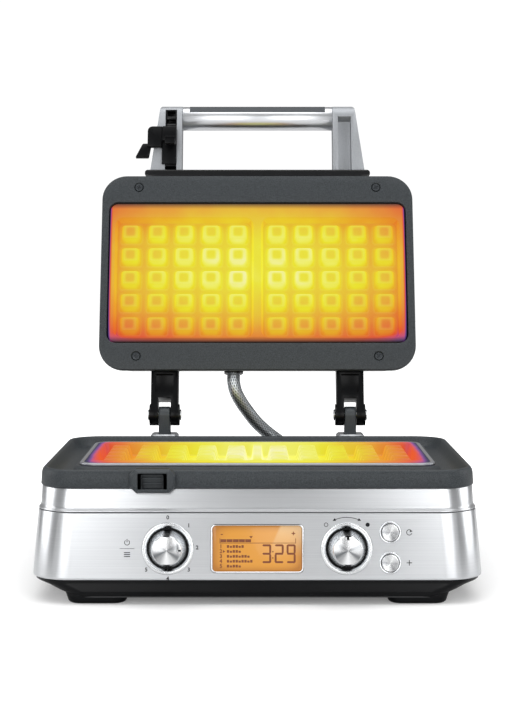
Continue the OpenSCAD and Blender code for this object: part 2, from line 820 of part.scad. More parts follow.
restart_button();
extra_time_button();
conduit();
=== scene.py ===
import json
import math

import bmesh
import bpy
from mathutils import Matrix, Vector

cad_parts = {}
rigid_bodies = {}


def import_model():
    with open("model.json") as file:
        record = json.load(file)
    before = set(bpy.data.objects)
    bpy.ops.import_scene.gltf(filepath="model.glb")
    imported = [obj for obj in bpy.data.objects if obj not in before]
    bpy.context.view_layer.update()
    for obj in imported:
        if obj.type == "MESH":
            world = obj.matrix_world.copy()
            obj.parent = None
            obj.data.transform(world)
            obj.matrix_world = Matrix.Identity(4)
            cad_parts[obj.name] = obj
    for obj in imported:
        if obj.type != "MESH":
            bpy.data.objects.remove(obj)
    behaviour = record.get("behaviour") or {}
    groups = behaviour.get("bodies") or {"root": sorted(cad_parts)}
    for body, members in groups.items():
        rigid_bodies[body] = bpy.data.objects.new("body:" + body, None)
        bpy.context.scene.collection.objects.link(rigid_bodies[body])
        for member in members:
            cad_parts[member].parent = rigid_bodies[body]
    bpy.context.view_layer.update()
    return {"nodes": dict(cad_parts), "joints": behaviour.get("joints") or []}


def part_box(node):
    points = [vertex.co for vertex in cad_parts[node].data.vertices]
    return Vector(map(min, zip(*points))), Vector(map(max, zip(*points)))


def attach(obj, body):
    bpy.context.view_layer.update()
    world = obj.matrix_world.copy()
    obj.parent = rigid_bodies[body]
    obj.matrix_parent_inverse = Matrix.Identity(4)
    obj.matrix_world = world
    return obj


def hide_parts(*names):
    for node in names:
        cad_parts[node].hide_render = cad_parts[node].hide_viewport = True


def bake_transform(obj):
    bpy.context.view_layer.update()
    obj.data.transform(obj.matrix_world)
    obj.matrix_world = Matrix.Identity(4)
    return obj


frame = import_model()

joints = {joint["name"]: joint for joint in frame["joints"]}


# ---- Camera, floor and lights --------------------------------------------------------------
# The opened appliance is seen from straight in front and a little above, through a long lens.
# It stands on a white sweep, under one wide soft light and between two upright ones.
def linear(text):
    """The linear colour of an sRGB hex value."""
    parts = [int(text[i:i + 2], 16) / 255 for i in (1, 3, 5)]
    return [c / 12.92 if c <= 0.04045 else ((c + 0.055) / 1.055) ** 2.4 for c in parts] + [1.0]


def add(tree, kind, inputs=None, links=None, **settings):
    """Adds one node: settings are its properties, inputs its socket values, links its sources."""
    node = tree.nodes.new(kind)
    for key, value in settings.items():
        setattr(node, key, value)
    for key, value in (inputs or {}).items():
        node.inputs[key].default_value = value
    for key, source in (links or {}).items():
        tree.links.new(source, node.inputs[key])
    return node


def finish(name, colour, **sockets):
    """A new material with its shader's own sockets set, as (material, tree, shader)."""
    made = bpy.data.materials.new(name)
    made.use_nodes = True
    shader = made.node_tree.nodes["Principled BSDF"]
    shader.inputs["Base Color"].default_value = linear(colour)
    for key, value in sockets.items():
        shader.inputs[key.replace("_", " ")].default_value = value
    return made, made.node_tree, shader


plate_low, plate_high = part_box("lower_waffle_plate")
plate_y = (plate_low.y + plate_high.y) / 2

scene = bpy.context.scene
scene.view_settings.view_transform = "Standard"
camera = bpy.data.objects.new("camera", bpy.data.cameras.new("camera"))
scene.collection.objects.link(camera)
camera.location = (0.0005, plate_y - 1.255, 0.254)
camera.rotation_euler = (math.radians(90 - 3.95), 0, 0)
camera.data.lens = 83.2
camera.data.clip_end = 20
scene.camera = camera

world = bpy.data.worlds.new("studio")
world.use_nodes = True
scene.world = world
sky = world.node_tree.nodes["Background"]
sky.inputs["Color"].default_value = (1, 1, 1, 1)
seen = add(world.node_tree, "ShaderNodeLightPath")
level = add(world.node_tree, "ShaderNodeMapRange", {"To Min": 0.34, "To Max": 1.05},
            {"Value": seen.outputs["Is Camera Ray"]})
world.node_tree.links.new(level.outputs["Result"], sky.inputs["Strength"])

bpy.ops.mesh.primitive_plane_add(size=8, location=(0, 0, 0))
floor = bpy.context.object
floor.name = "floor"
# Seamless background paper: matt white, lit from below as well so that it has no edge. That glow is weaker near the
# body: painted shade round and under it.
sweep, tree, shader = finish("white_paper_sweep", "#e4e4e4", Roughness=0.9, Specular_IOR_Level=0.1,
                             Emission_Color=(1, 1, 1, 1))
seen = add(tree, "ShaderNodeLightPath")
spot = add(tree, "ShaderNodeTexCoord")
# The glow fades towards the body: painted shade on the floor round and under it
away = add(tree, "ShaderNodeVectorMath", links={0: spot.outputs["Object"]}, operation="LENGTH")
level = add(tree, "ShaderNodeMapRange", {"From Min": 0.12, "From Max": 0.5, "To Min": 0.16, "To Max": 0.85},
            {"Value": away.outputs["Value"]}, interpolation_type="SMOOTHSTEP")
glow = add(tree, "ShaderNodeMath", links={0: level.outputs["Result"], 1: seen.outputs["Is Camera Ray"]},
           operation="MULTIPLY")
tree.links.new(glow.outputs[0], shader.inputs["Emission Strength"])
floor.data.materials.append(sweep)


def soft_box(name, place, aim, width, height, power):
    """A rectangular soft light at a place, turned to face another."""
    data = bpy.data.lights.new(name, "AREA")
    data.shape, data.size, data.size_y, data.energy = "RECTANGLE", width, height, power
    light = bpy.data.objects.new(name, data)
    scene.collection.objects.link(light)
    light.location = place
    light.rotation_euler = (Vector(aim) - Vector(place)).to_track_quat("-Z", "Y").to_euler()


soft_box("overhead", (0, -0.1, 1.9), (0, 0, 0.1), 2.6, 1.8, 34)
soft_box("left_bank", (-0.86, -2.05, 0.55), (0, 0, 0.15), 1.15, 1.5, 16)
soft_box("right_bank", (0.92, -2.05, 0.55), (0, 0, 0.15), 1.15, 1.5, 15)
soft_box("left_side", (-1.9, 0.1, 0.7), (0, 0, 0.15), 1.2, 1.2, 10)
soft_box("right_side", (1.9, 0.1, 0.7), (0, 0, 0.15), 1.2, 1.2, 10)


# ---- Cable conduit -------------------------------------------------------------------------
# The wires to the lid run through a sleeve of braided stainless wire, 11 mm across. It leaves
# the lid's back edge, drops in one curve and goes into an angled boss behind the body.
conduit_route = [
    (-20, 133.49, 144.06), (-20, 131.23, 137.12), (-18.2, 131, 129), (-14, 133.2, 120.5),
    (-8.4, 136.4, 112), (-0.6, 140, 101.8), (9.6, 143.6, 92.2), (22, 146.2, 82.9),
    (35, 147.6, 74.2), (48.6, 148, 65.4),
]
plate_frame = Matrix.Translation((0, plate_y, 0)) @ Matrix.Scale(0.001, 4)
route = [plate_frame @ Vector(point) for point in conduit_route]
conduit_wide, braid_pitch, braid_strands, braid_relief = 0.011, 0.0085, 16, 0.00022


def along(points, steps):
    """Points on a smooth curve through the given ones."""
    out = []
    for i in range(len(points) - 1):
        p0, p1 = points[max(i - 1, 0)], points[i]
        p2, p3 = points[i + 1], points[min(i + 2, len(points) - 1)]
        for k in range(steps):
            t = k / steps
            out.append(0.5 * (2 * p1 + (p2 - p0) * t + (2 * p0 - 5 * p1 + 4 * p2 - p3) * t * t
                              + (3 * p1 - p0 - 3 * p2 + p3) * t ** 3))
    return out + [points[-1]]


def sleeve(name, path, radius, around):
    """A closed tube along a path whose skin is a plain braid of two crossing sets of strands."""
    mesh = bmesh.new()
    charts = mesh.loops.layers.uv.new("UVMap")
    side = Vector((0, 1, 0))
    travelled, rings, reach = 0.0, [], []
    for i, point in enumerate(path):
        ahead = (path[min(i + 1, len(path) - 1)] - path[max(i - 1, 0)]).normalized()
        side = (side - ahead * side.dot(ahead)).normalized()
        other = ahead.cross(side)
        travelled += (point - path[max(i - 1, 0)]).length
        turn = 2 * math.pi * travelled / braid_pitch
        ring = []
        for k in range(around):
            angle = 2 * math.pi * k / around
            left = math.cos(braid_strands / 2 * angle + turn)
            right = math.cos(braid_strands / 2 * angle - turn)
            lift = braid_relief * (max(abs(left), abs(right)) - 1)
            ring.append(mesh.verts.new(point + (radius + lift) * (
                side * math.cos(angle) + other * math.sin(angle))))
        rings.append(ring)
        reach.append(travelled)
    for i in range(len(rings) - 1):
        for k in range(around):
            k2 = (k + 1) % around
            face = mesh.faces.new((rings[i][k], rings[i][k2], rings[i + 1][k2], rings[i + 1][k]))
            face.smooth = True
            for loop, (u, v) in zip(face.loops, ((k, i), (k + 1, i), (k + 1, i + 1), (k, i + 1))):
                loop[charts].uv = (u / around, reach[v] * 1000)
    mesh.faces.new(rings[0][::-1])
    mesh.faces.new(rings[-1])
    bmesh.ops.recalc_face_normals(mesh, faces=mesh.faces)
    data = bpy.data.meshes.new(name)
    mesh.to_mesh(data)
    piece = bpy.data.objects.new(name, data)
    scene.collection.objects.link(piece)
    return piece


conduit_path = along(route, 16)
conduit = sleeve("braided_conduit", conduit_path, conduit_wide / 2, 72)
# Braided stainless wire, drawn bright and woven on a machine: thin bright wires lie side by side in each strand.
# Its colour is painted darker in the gaps where strands cross and lighter on their crests, painted shade from the
# same pattern as the bump. A wire is about 0.25 mm.
braid, tree, shader = finish("braided_stainless_wire", "#8b9196", Metallic=1.0, Roughness=0.38)
chart = add(tree, "ShaderNodeUVMap", uv_map="UVMap")
parts = add(tree, "ShaderNodeSeparateXYZ", links={"Vector": chart.outputs["UV"]})
around = add(tree, "ShaderNodeMath", {1: math.pi * braid_strands}, {0: parts.outputs["X"]},
             operation="MULTIPLY")
onward = add(tree, "ShaderNodeMath", {1: 2 * math.pi / (braid_pitch * 1000)}, {0: parts.outputs["Y"]},
             operation="MULTIPLY")
plus = add(tree, "ShaderNodeMath", links={0: around.outputs[0], 1: onward.outputs[0]}, operation="ADD")
minus = add(tree, "ShaderNodeMath", links={0: around.outputs[0], 1: onward.outputs[0]}, operation="SUBTRACT")
wave_a = add(tree, "ShaderNodeMath", links={0: plus.outputs[0]}, operation="COSINE")
wave_b = add(tree, "ShaderNodeMath", links={0: minus.outputs[0]}, operation="COSINE")
size_a = add(tree, "ShaderNodeMath", links={0: wave_a.outputs[0]}, operation="ABSOLUTE")
size_b = add(tree, "ShaderNodeMath", links={0: wave_b.outputs[0]}, operation="ABSOLUTE")
strand_relief_and_shade = add(tree, "ShaderNodeMath", links={0: size_a.outputs[0], 1: size_b.outputs[0]}, operation="MAXIMUM")
# Painted shade: the colour darkens into the gaps between strands
tone = add(tree, "ShaderNodeValToRGB", links={"Fac": strand_relief_and_shade.outputs[0]})
tone.color_ramp.elements[0].position, tone.color_ramp.elements[0].color = 0.55, linear("#5d6367")
tone.color_ramp.elements[1].position, tone.color_ramp.elements[1].color = 0.98, linear("#c3c7ca")
tree.links.new(tone.outputs["Color"], shader.inputs["Base Color"])
dent = add(tree, "ShaderNodeBump", {"Strength": 0.5, "Distance": 0.0002}, {"Height": strand_relief_and_shade.outputs[0]})
tree.links.new(dent.outputs["Normal"], shader.inputs["Normal"])
conduit.data.materials.append(braid)
conduit_long = sum((b - a).length for a, b in zip(conduit_path, conduit_path[1:]))
tuple(route[0])
[tuple(p) for p in conduit_path]
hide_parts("conduit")
tuple(route[0])
tuple(route[6])
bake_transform(conduit)


# ---- Black base moulding -------------------------------------------------------------------
# The body stands on one black moulding. Its skirt draws in under the steel, its front and
# back are sunk between the corners, and each corner comes down as a foot round a rubber pad.
def outline(width, depth, radius, middle, height, steps):
    """Adds one rounded rectangle of edges to the mesh that is open, and leaves it selected."""
    bpy.ops.mesh.primitive_plane_add(size=1, location=(0, middle, height))
    bpy.ops.transform.resize(value=(width, depth, 1), center_override=(0, middle, height))
    bpy.ops.mesh.bevel(offset=radius, segments=steps, affect="VERTICES")
    bpy.ops.mesh.delete(type="ONLY_FACE")


def pick(kind, test):
    """Selects the open mesh's vertices, edges or faces whose middle (and normal) pass a test."""
    mesh = bmesh.from_edit_mesh(bpy.context.edit_object.data)
    mesh.normal_update()
    bpy.ops.mesh.select_mode(type=kind)
    bpy.ops.mesh.select_all(action="DESELECT")
    mesh = bmesh.from_edit_mesh(bpy.context.edit_object.data)
    if kind == "VERT":
        for vert in mesh.verts:
            vert.select_set(bool(test(vert.co)))
    elif kind == "EDGE":
        for edge in mesh.edges:
            ends = [vert.co for vert in edge.verts]
            edge.select_set(bool(test((ends[0] + ends[1]) / 2, ends[1] - ends[0])))
    else:
        for face in mesh.faces:
            face.select_set(bool(test(face.calc_center_median(), face.normal)))
    mesh.select_flush_mode()
    bmesh.update_edit_mesh(bpy.context.edit_object.data)


def loft(rings, steps=10, hollow=False):
    """Starts a piece from rounded rectangles (height, width, depth, radius, middle), in mm, each
    bridged to the next. A hollow one joins its last ring to its first; else both ends are closed."""
    bpy.ops.object.select_all(action="DESELECT")
    bpy.ops.mesh.primitive_plane_add(size=1, location=(0, 0, 0))
    piece = bpy.context.object
    bpy.ops.object.mode_set(mode="EDIT")
    bpy.ops.mesh.delete(type="VERT")
    count = 4 * (steps + 1)
    # Bridging two outlines in one plane can join them crosswise, so each stands a little apart
    for k, (height, width, depth, radius, middle) in enumerate(rings):
        beside = {round(rings[j][0], 3) for j in (k - 1, (k + 1) % len(rings))}
        apart = 0.02 if k % 2 and round(height, 3) in beside else 0
        outline(width, depth, radius, middle, height + apart, steps)
    pairs = list(range(len(rings) - 1)) + ([len(rings) - 1] if hollow else [])
    for k in pairs:
        mesh = bmesh.from_edit_mesh(piece.data)
        bpy.ops.mesh.select_mode(type="VERT")
        bpy.ops.mesh.select_all(action="DESELECT")
        mesh.verts.ensure_lookup_table()
        for first in (k, (k + 1) % len(rings)):
            for vert in mesh.verts[first * count:(first + 1) * count]:
                vert.select_set(True)
        mesh.select_flush_mode()
        chosen = {first * count + i for first in (k, (k + 1) % len(rings)) for i in range(count)}
        for edge in mesh.edges:
            ends = {vert.index // count for vert in edge.verts}
            edge.select_set(len(ends) == 1 and {vert.index for vert in edge.verts} <= chosen)
        bmesh.update_edit_mesh(piece.data)
        bpy.ops.mesh.select_mode(type="EDGE")
        bpy.ops.mesh.bridge_edge_loops()
    if not hollow:
        bpy.ops.mesh.select_mode(type="VERT")
        for first in (0, len(rings) - 1):
            bpy.ops.mesh.select_all(action="DESELECT")
            mesh = bmesh.from_edit_mesh(piece.data)
            mesh.verts.ensure_lookup_table()
            for vert in mesh.verts[first * count:(first + 1) * count]:
                vert.select_set(True)
            bmesh.update_edit_mesh(piece.data)
            bpy.ops.mesh.edge_face_add()
    bpy.ops.mesh.select_all(action="SELECT")
    bpy.ops.mesh.normals_make_consistent(inside=False)
    return piece


def slab(low, high):
    """Starts a piece as a block between two corners, in mm, open for shaping."""
    bpy.ops.object.select_all(action="DESELECT")
    middle = [(a + b) / 2 for a, b in zip(low, high)]
    bpy.ops.mesh.primitive_cube_add(size=1, location=(0, 0, 0))
    piece = bpy.context.object
    bpy.ops.object.mode_set(mode="EDIT")
    bpy.ops.transform.resize(value=[b - a for a, b in zip(low, high)], center_override=(0, 0, 0))
    bpy.ops.transform.translate(value=middle)
    return piece


def only(piece):
    """Leaves edit mode and selects one piece alone."""
    if bpy.context.mode != "OBJECT":
        bpy.ops.object.mode_set(mode="OBJECT")
    bpy.ops.object.select_all(action="DESELECT")
    piece.select_set(True)
    bpy.context.view_layer.objects.active = piece


def shape(piece, kind, **settings):
    """Gives a piece one modifier and applies it."""
    only(piece)
    modifier = piece.modifiers.new(kind.lower(), kind)
    for key, value in settings.items():
        setattr(modifier, key, value)
    bpy.ops.object.modifier_apply(modifier=modifier.name)


def soften(piece, width, segments=2, angle=32):
    """Rounds a piece's sharp edges by a width in mm."""
    shape(piece, "BEVEL", width=width, segments=segments, limit_method="ANGLE",
          angle_limit=math.radians(angle), use_clamp_overlap=True)


def cut(piece, *cutters):
    """Takes other closed shapes out of a piece."""
    for cutter in cutters:
        only(cutter)
        shape(piece, "BOOLEAN", object=cutter, operation="DIFFERENCE", solver="EXACT")
        bpy.data.objects.remove(cutter, do_unlink=True)


def joined(*parts):
    """Makes one piece of several."""
    only(parts[0])
    for part in parts[1:]:
        part.select_set(True)
    bpy.ops.object.join()
    return bpy.context.object


def copy(piece, *moves):
    """Copies a piece once for each move, each copy with its own mesh."""
    out = []
    for move in moves:
        only(piece)
        bpy.ops.object.duplicate(linked=False)
        bpy.ops.transform.translate(value=move)
        bpy.ops.object.transform_apply(location=True, rotation=True, scale=True)
        out.append(bpy.context.object)
    return out


def placed(piece, where):
    """Moves and turns a piece, and puts its place in its mesh."""
    only(piece)
    piece.matrix_world = where @ piece.matrix_world
    bpy.ops.object.transform_apply(location=True, rotation=True, scale=True)
    return piece


def settle(piece, name, where, surface, body, *nodes, slot=None, angle=35):
    """Puts a piece modelled in mm where it belongs: its place in its mesh, its surface and its body."""
    placed(piece, where)
    piece.name = piece.data.name = name
    bpy.ops.object.mode_set(mode="EDIT")
    bpy.ops.mesh.select_all(action="SELECT")
    bpy.ops.mesh.remove_doubles(threshold=0.000002)
    bpy.ops.mesh.select_all(action="SELECT")
    bpy.ops.mesh.normals_make_consistent(inside=False)
    bpy.ops.object.mode_set(mode="OBJECT")
    bpy.ops.object.shade_smooth_by_angle(angle=math.radians(angle))
    piece.data.materials.clear()
    piece.data.materials.append(surface)
    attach(piece, body)
    if nodes:
        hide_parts(*nodes)
    return piece


def speckle(tree, shader, scale, detail, stretch=None, fine=0.5, tones=None, gloss=None, dent=None,
            deep=0.0001):
    """Lays one noise over a surface, scale being its marks per metre: tones are two (place, colour)
    pairs, gloss the least and most roughness, dent and deep the bump's strength and its height in
    metres. stretch draws the marks out."""
    spot = add(tree, "ShaderNodeTexCoord").outputs["Object"]
    if stretch:
        spot = add(tree, "ShaderNodeMapping", {"Scale": stretch}, {"Vector": spot}).outputs[0]
    marks = add(tree, "ShaderNodeTexNoise", {"Scale": scale, "Detail": detail, "Roughness": fine}, {"Vector": spot})
    if tones:
        tone = add(tree, "ShaderNodeValToRGB", links={"Fac": marks.outputs["Fac"]})
        for element, (place, colour) in zip(tone.color_ramp.elements, tones):
            element.position, element.color = place, linear(colour)
        tree.links.new(tone.outputs["Color"], shader.inputs["Base Color"])
    if gloss:
        even = add(tree, "ShaderNodeMapRange", {"To Min": gloss[0], "To Max": gloss[1]},
                   {"Value": marks.outputs["Fac"]})
        tree.links.new(even.outputs["Result"], shader.inputs["Roughness"])
    if dent:
        bump = add(tree, "ShaderNodeBump", {"Strength": dent, "Distance": deep}, {"Height": marks.outputs["Fac"]})
        tree.links.new(bump.outputs["Normal"], shader.inputs["Normal"])


body_middle = 16
lean = math.tan(math.radians(5))


def body_ring(height, inset=0.0, radius=28):
    """The body's outline at a height, drawn in by an inset."""
    back = lean * (height - 25) + inset
    return (height, 321 - 2 * back, 248 - 2 * back, radius - inset, body_middle)


skirt = loft([
    (5.5, 266, 234, 17, body_middle - 4), (5, 270, 238, 18, body_middle - 3.8),
    (6.4, 273.5, 241, 19, body_middle - 3.5), (9.5, 287, 247, 21, body_middle - 2),
    (12.5, 301, 248.5, 24, body_middle - 0.6), (14.6, 314.5, 247.8, 26.5, body_middle),
    (15.4, 317.6, 247.2, 27, body_middle), (16.9, 318.6, 248.2, 27.4, body_middle),
    body_ring(17.25, 1.0), body_ring(19, 1.3), body_ring(81, 1.3), body_ring(81, 3.4), body_ring(19, 3.4),
    (8.2, 266, 236, 15, body_middle - 4)], steps=12, hollow=True)
soften(skirt, 0.4, 2, 40)
pads = []
for side in (-1, 1):
    for front in (-1, 1):
        y = -93.5 if front < 0 else 112.5
        pad = slab((side * 113.5 - 20.5, y - 12.5, 1.1), (side * 113.5 + 20.5, y + 12.5, 8.5))
        pick("EDGE", lambda middle, run: abs(run.z) > 1)
        bpy.ops.mesh.bevel(offset=9, segments=6, affect="EDGES")
        pick("FACE", lambda middle, normal: normal.z < -0.9)
        bpy.ops.mesh.inset(thickness=1.6, depth=1.0)
        pick("FACE", lambda middle, normal: normal.z > 0.9)
        bpy.ops.transform.resize(value=(1.12, 1.06, 1), center_override=(side * 113.5, y, 8.5))
        soften(pad, 0.8, 3, 30)
        pads.append(pad)
skirt = joined(skirt, *pads)
# Black ABS, moulded with a smooth satin skin: soft wide reflections, slightly blue-black.
black_abs, tree, shader = finish("black_abs_moulding", "#07080a", Roughness=0.3, Specular_IOR_Level=0.14)
speckle(tree, shader, 2400.0, 2.0, dent=0.12)
speckle(tree, shader, 35.0, 3.0, gloss=(0.24, 0.36))
settle(skirt, "base_moulding", plate_frame, black_abs, "base", "chassis", slot="black_plastic")


# ---- Steel wrap and band -------------------------------------------------------------------
# The body's walls are two pressings of 1 mm brushed stainless steel, one above the other, with
# a shadow line between them. The band's lower edge flares out, so it catches the light.
panel_point = Vector(joints["menu_dial_turn"]["pos_m"])
panel_lean = math.asin(joints["menu_dial_turn"]["axis"][2])
panel_frame = (Matrix.Translation((0, panel_point.y, panel_point.z))
               @ Matrix.Rotation(math.pi / 2 - panel_lean, 4, "X") @ Matrix.Scale(0.001, 4))
panel_in_plate = plate_frame.inverted() @ panel_frame
dial_x, button_x = 63, 93.5
button_up = [(51 - 39.6) / math.cos(panel_lean), (29.7 - 39.6) / math.cos(panel_lean)]


def plug(radius, middle, where):
    """A round cutter that stands across a wall."""
    bpy.ops.object.select_all(action="DESELECT")
    bpy.ops.mesh.primitive_cylinder_add(vertices=96, radius=radius, depth=24, location=middle)
    return placed(bpy.context.object, where)


wrap = loft([
    body_ring(17.3, 1.3), body_ring(17.6, 0.5), body_ring(18.3, 0.1), body_ring(19.2), body_ring(64),
    body_ring(64.5, 0.25), body_ring(64.6, 0.6), body_ring(64.6, 1.1), body_ring(18.2, 1.2)],
    steps=24, hollow=True)
only(wrap)
window = loft([(-8, 65.6, 34.4, 3.5, 0), (8, 65.6, 34.4, 3.5, 0)], steps=10)
placed(window, panel_in_plate)
back_wall = Matrix.Translation((0, 140, 0)) @ Matrix.Rotation(math.pi / 2, 4, "X")
cut(wrap, window,
    *[plug(17.2, (side * dial_x, 0, 0), panel_in_plate) for side in (-1, 1)],
    *[plug(7.6, (button_x, up, 0), panel_in_plate) for up in button_up],
    plug(7, (66, 50, 0), back_wall), plug(8, (-60, 36, 0), back_wall))
# Stainless steel sheet, ground with a fine belt along its length: a bright metal whose tiny
# level scratches spread each reflection up and down. Real scratches are 0.1 mm apart or less,
# so they are drawn 0.5 mm apart to show.
steel, tree, shader = finish("brushed_stainless_sheet", "#d4d5d7", Metallic=1.0, Roughness=0.3, Anisotropic=0.6,
                             Anisotropic_Rotation=0.25)
speckle(tree, shader, 1.0, 4.0, stretch=(6, 6, 2000), fine=0.6, tones=((0.25, "#c6c8cb"), (0.75, "#d4d6d8")),
        gloss=(0.27, 0.33), dent=0.04)
settle(wrap, "steel_wrap", plate_frame, steel, "base", "housing_wrap", slot="brushed_steel", angle=25)

band = loft([
    body_ring(65.25, 0.5), body_ring(65.2, 0.1), body_ring(65.45, -0.05), body_ring(66.0, 0.12),
    body_ring(66.8, 0.75), body_ring(67.7, 1.15), body_ring(68.8, 1.3), body_ring(81.0, 1.0),
    body_ring(81.6, 1.3), body_ring(81.8, 1.7), body_ring(81.8, 2.1), body_ring(68.8, 2.3),
    body_ring(66, 1.2)], steps=24, hollow=True)
settle(band, "steel_band", plate_frame, steel, "base", "housing_band", slot="brushed_steel", angle=50)


# ---- Drip tray -----------------------------------------------------------------------------
# A die-cast tray lies on the body. A deep moat runs round the lower plate to catch batter, and
# a thin rolled bead goes round its rim. It has a sandblasted, charcoal non-stick coating.
tray = loft([
    (82, 309.6, 209.4, 25.6, 2), (82.6, 310.4, 210.2, 26, 2), (90.6, 309.4, 209.2, 25.6, 2),
    (92.6, 308.4, 208.2, 25.2, 2), (93.9, 307.0, 206.8, 24.6, 2), (94.5, 305.4, 205.2, 23.8, 2),
    (94.5, 302.4, 202.2, 22.8, 2), (93.9, 300.8, 200.6, 22, 2), (92.6, 299.4, 199.2, 21.4, 2),
    (89.4, 296.0, 195.6, 20, 2), (87.4, 292.6, 192.2, 18.4, 2), (86.5, 288.6, 188.2, 17, 2),
    (86.1, 277.0, 154, 17, 0.4), (86.6, 273.4, 148.6, 15.6, 0), (89.0, 269.4, 143.6, 14.4, 0),
    (91.4, 266.4, 140.4, 13.2, 0), (92.5, 264.2, 138.2, 12.6, 0), (92.5, 260, 134, 12, 0),
    (83.5, 260, 134, 12, 0), (83.5, 292, 190, 16, 2), (82, 304, 204, 23, 2)], steps=14, hollow=True)
# Die-cast aluminium under a sprayed and baked ceramic-filled PTFE coat: charcoal, with a dry
# sparkle. The sand in the coat is 0.2 to 0.4 mm, so it is drawn at 0.7 mm to show.
charcoal, tree, shader = finish("sandblasted_nonstick_casting", "#32373b", Roughness=0.46, IOR=1.42)
speckle(tree, shader, 1400.0, 2.0, fine=0.7, tones=((0.34, "#1c2124"), (0.68, "#393e42")), gloss=(0.4, 0.58),
        dent=0.22, deep=0.0003)
settle(tray, "drip_tray_casting", plate_frame, charcoal, "base", "drip_tray", slot="cast_nonstick", angle=40)


# ---- Rear deck and hinge collars -----------------------------------------------------------
# Behind the tray a moulded deck closes the body. Two sintered collars are let into it, and the
# posts of the floating hinge slide up and down in them.
def refined(node, width, angle=30):
    """A node's own shape with its triangles merged and its edges rounded by a width in mm."""
    only(frame["nodes"][node])
    bpy.ops.object.duplicate(linked=False)
    piece = bpy.context.object
    bpy.ops.object.parent_clear(type="CLEAR_KEEP_TRANSFORM")
    bpy.ops.object.mode_set(mode="EDIT")
    bpy.ops.mesh.select_all(action="SELECT")
    bpy.ops.transform.resize(value=(1000, 1000, 1000), center_override=(0, 0, 0))
    bpy.ops.mesh.remove_doubles(threshold=0.002)
    bpy.ops.mesh.dissolve_limited(angle_limit=math.radians(1.5))
    soften(piece, width, 2, angle)
    return piece


millimetres = Matrix.Scale(0.001, 4)
deck = refined("rear_deck", 0.7)
settle(deck, "rear_deck_moulding", millimetres, black_abs, "base", "rear_deck", slot="black_plastic")

collars = refined("post_guides", 0.5)
# Zinc die casting, tumbled and left bare: a dull light grey with soft clouds in it.
zinc, tree, shader = finish("bare_zinc_casting", "#a9abae", Metallic=0.85, Roughness=0.42)
speckle(tree, shader, 300.0, 4.0, tones=((0.3, "#94979a"), (0.7, "#bcbec1")), dent=0.15)
settle(collars, "hinge_collars", millimetres, zinc, "base", "post_guides")


# ---- Lower waffle plate --------------------------------------------------------------------
# A cast aluminium plate presses the underside of two square waffles. It is drawn as a heat
# picture: it glows from pale yellow in the middle through orange to violet at its ends.
# The pegs' pitch across and along a waffle, how far a waffle's middle is from the plate's, and
# how far both cavities are set back towards the hinge
peg_across, peg_along, waffle_aside, cavity_back = 22.86, 20.32, 62.25, 4.5


def peg_block(back):
    """The 25 tapered pegs of one waffle, as separate closed shapes, for a cavity 10 mm deep."""
    peg = slab((-8.7, -7.7, -10), (8.7, 7.7, -0.8))
    pick("FACE", lambda middle, normal: normal.z > 0.9)
    bpy.ops.transform.resize(value=(0.72, 0.72, 1), center_override=(0, 0, -0.8))
    pick("FACE", lambda middle, normal: normal.z < -0.9)
    bpy.ops.mesh.extrude_region_move(TRANSFORM_OT_translate={"value": (0, 0, -2)})
    pick("EDGE", lambda middle, run: abs(run.z) > 5 and middle.z > -9)
    bpy.ops.mesh.bevel(offset=1.6, segments=3, affect="EDGES")
    pick("EDGE", lambda middle, run: middle.z > -0.9)
    bpy.ops.mesh.bevel(offset=1.1, segments=2, affect="EDGES")
    bpy.ops.object.mode_set(mode="OBJECT")
    rest = copy(peg, *[(i * peg_across, j * peg_along + back, 0) for i in range(-2, 3) for j in range(-2, 3)])
    bpy.data.objects.remove(peg, do_unlink=True)
    return joined(*rest)


def waffle_casting(width, depth, radius, back):
    """A plate with its open side up, its rim at height 0 and a cavity for each of two waffles."""
    body = loft([
        (-14.5, width - 3, depth - 3, radius - 1, 0), (-12.5, width, depth, radius, 0),
        (-1.2, width, depth, radius, 0), (-0.4, width - 0.7, depth - 0.7, radius - 0.4, 0),
        (0, width - 2.4, depth - 2.4, radius - 1.2, 0)], steps=8)
    only(body)
    for side in (-1, 1):
        cavity = loft([
            (-10, 113.5, 101, 5, back), (-9.2, 115.4, 102.9, 6, back), (-0.7, 118.1, 105.4, 7, back),
            (0, 119.4, 106.7, 7.6, back), (2, 119.4, 106.7, 7.6, back)], steps=6)
        only(cavity)
        cut(cavity, peg_block(back))
        cut(body, placed(cavity, Matrix.Translation((side * waffle_aside, 0, 0))))
    return body


heat_colours = [
    (0.0, "#15161a"), (0.06, "#241c52"), (0.12, "#7a3f90"), (0.18, "#c8486e"), (0.26, "#e2542c"),
    (0.38, "#e57a28"), (0.52, "#e9a02b"), (0.66, "#ebc62c"), (0.8, "#eee631"), (0.9, "#f3f26a"),
    (1.0, "#fbf8c8"),
]


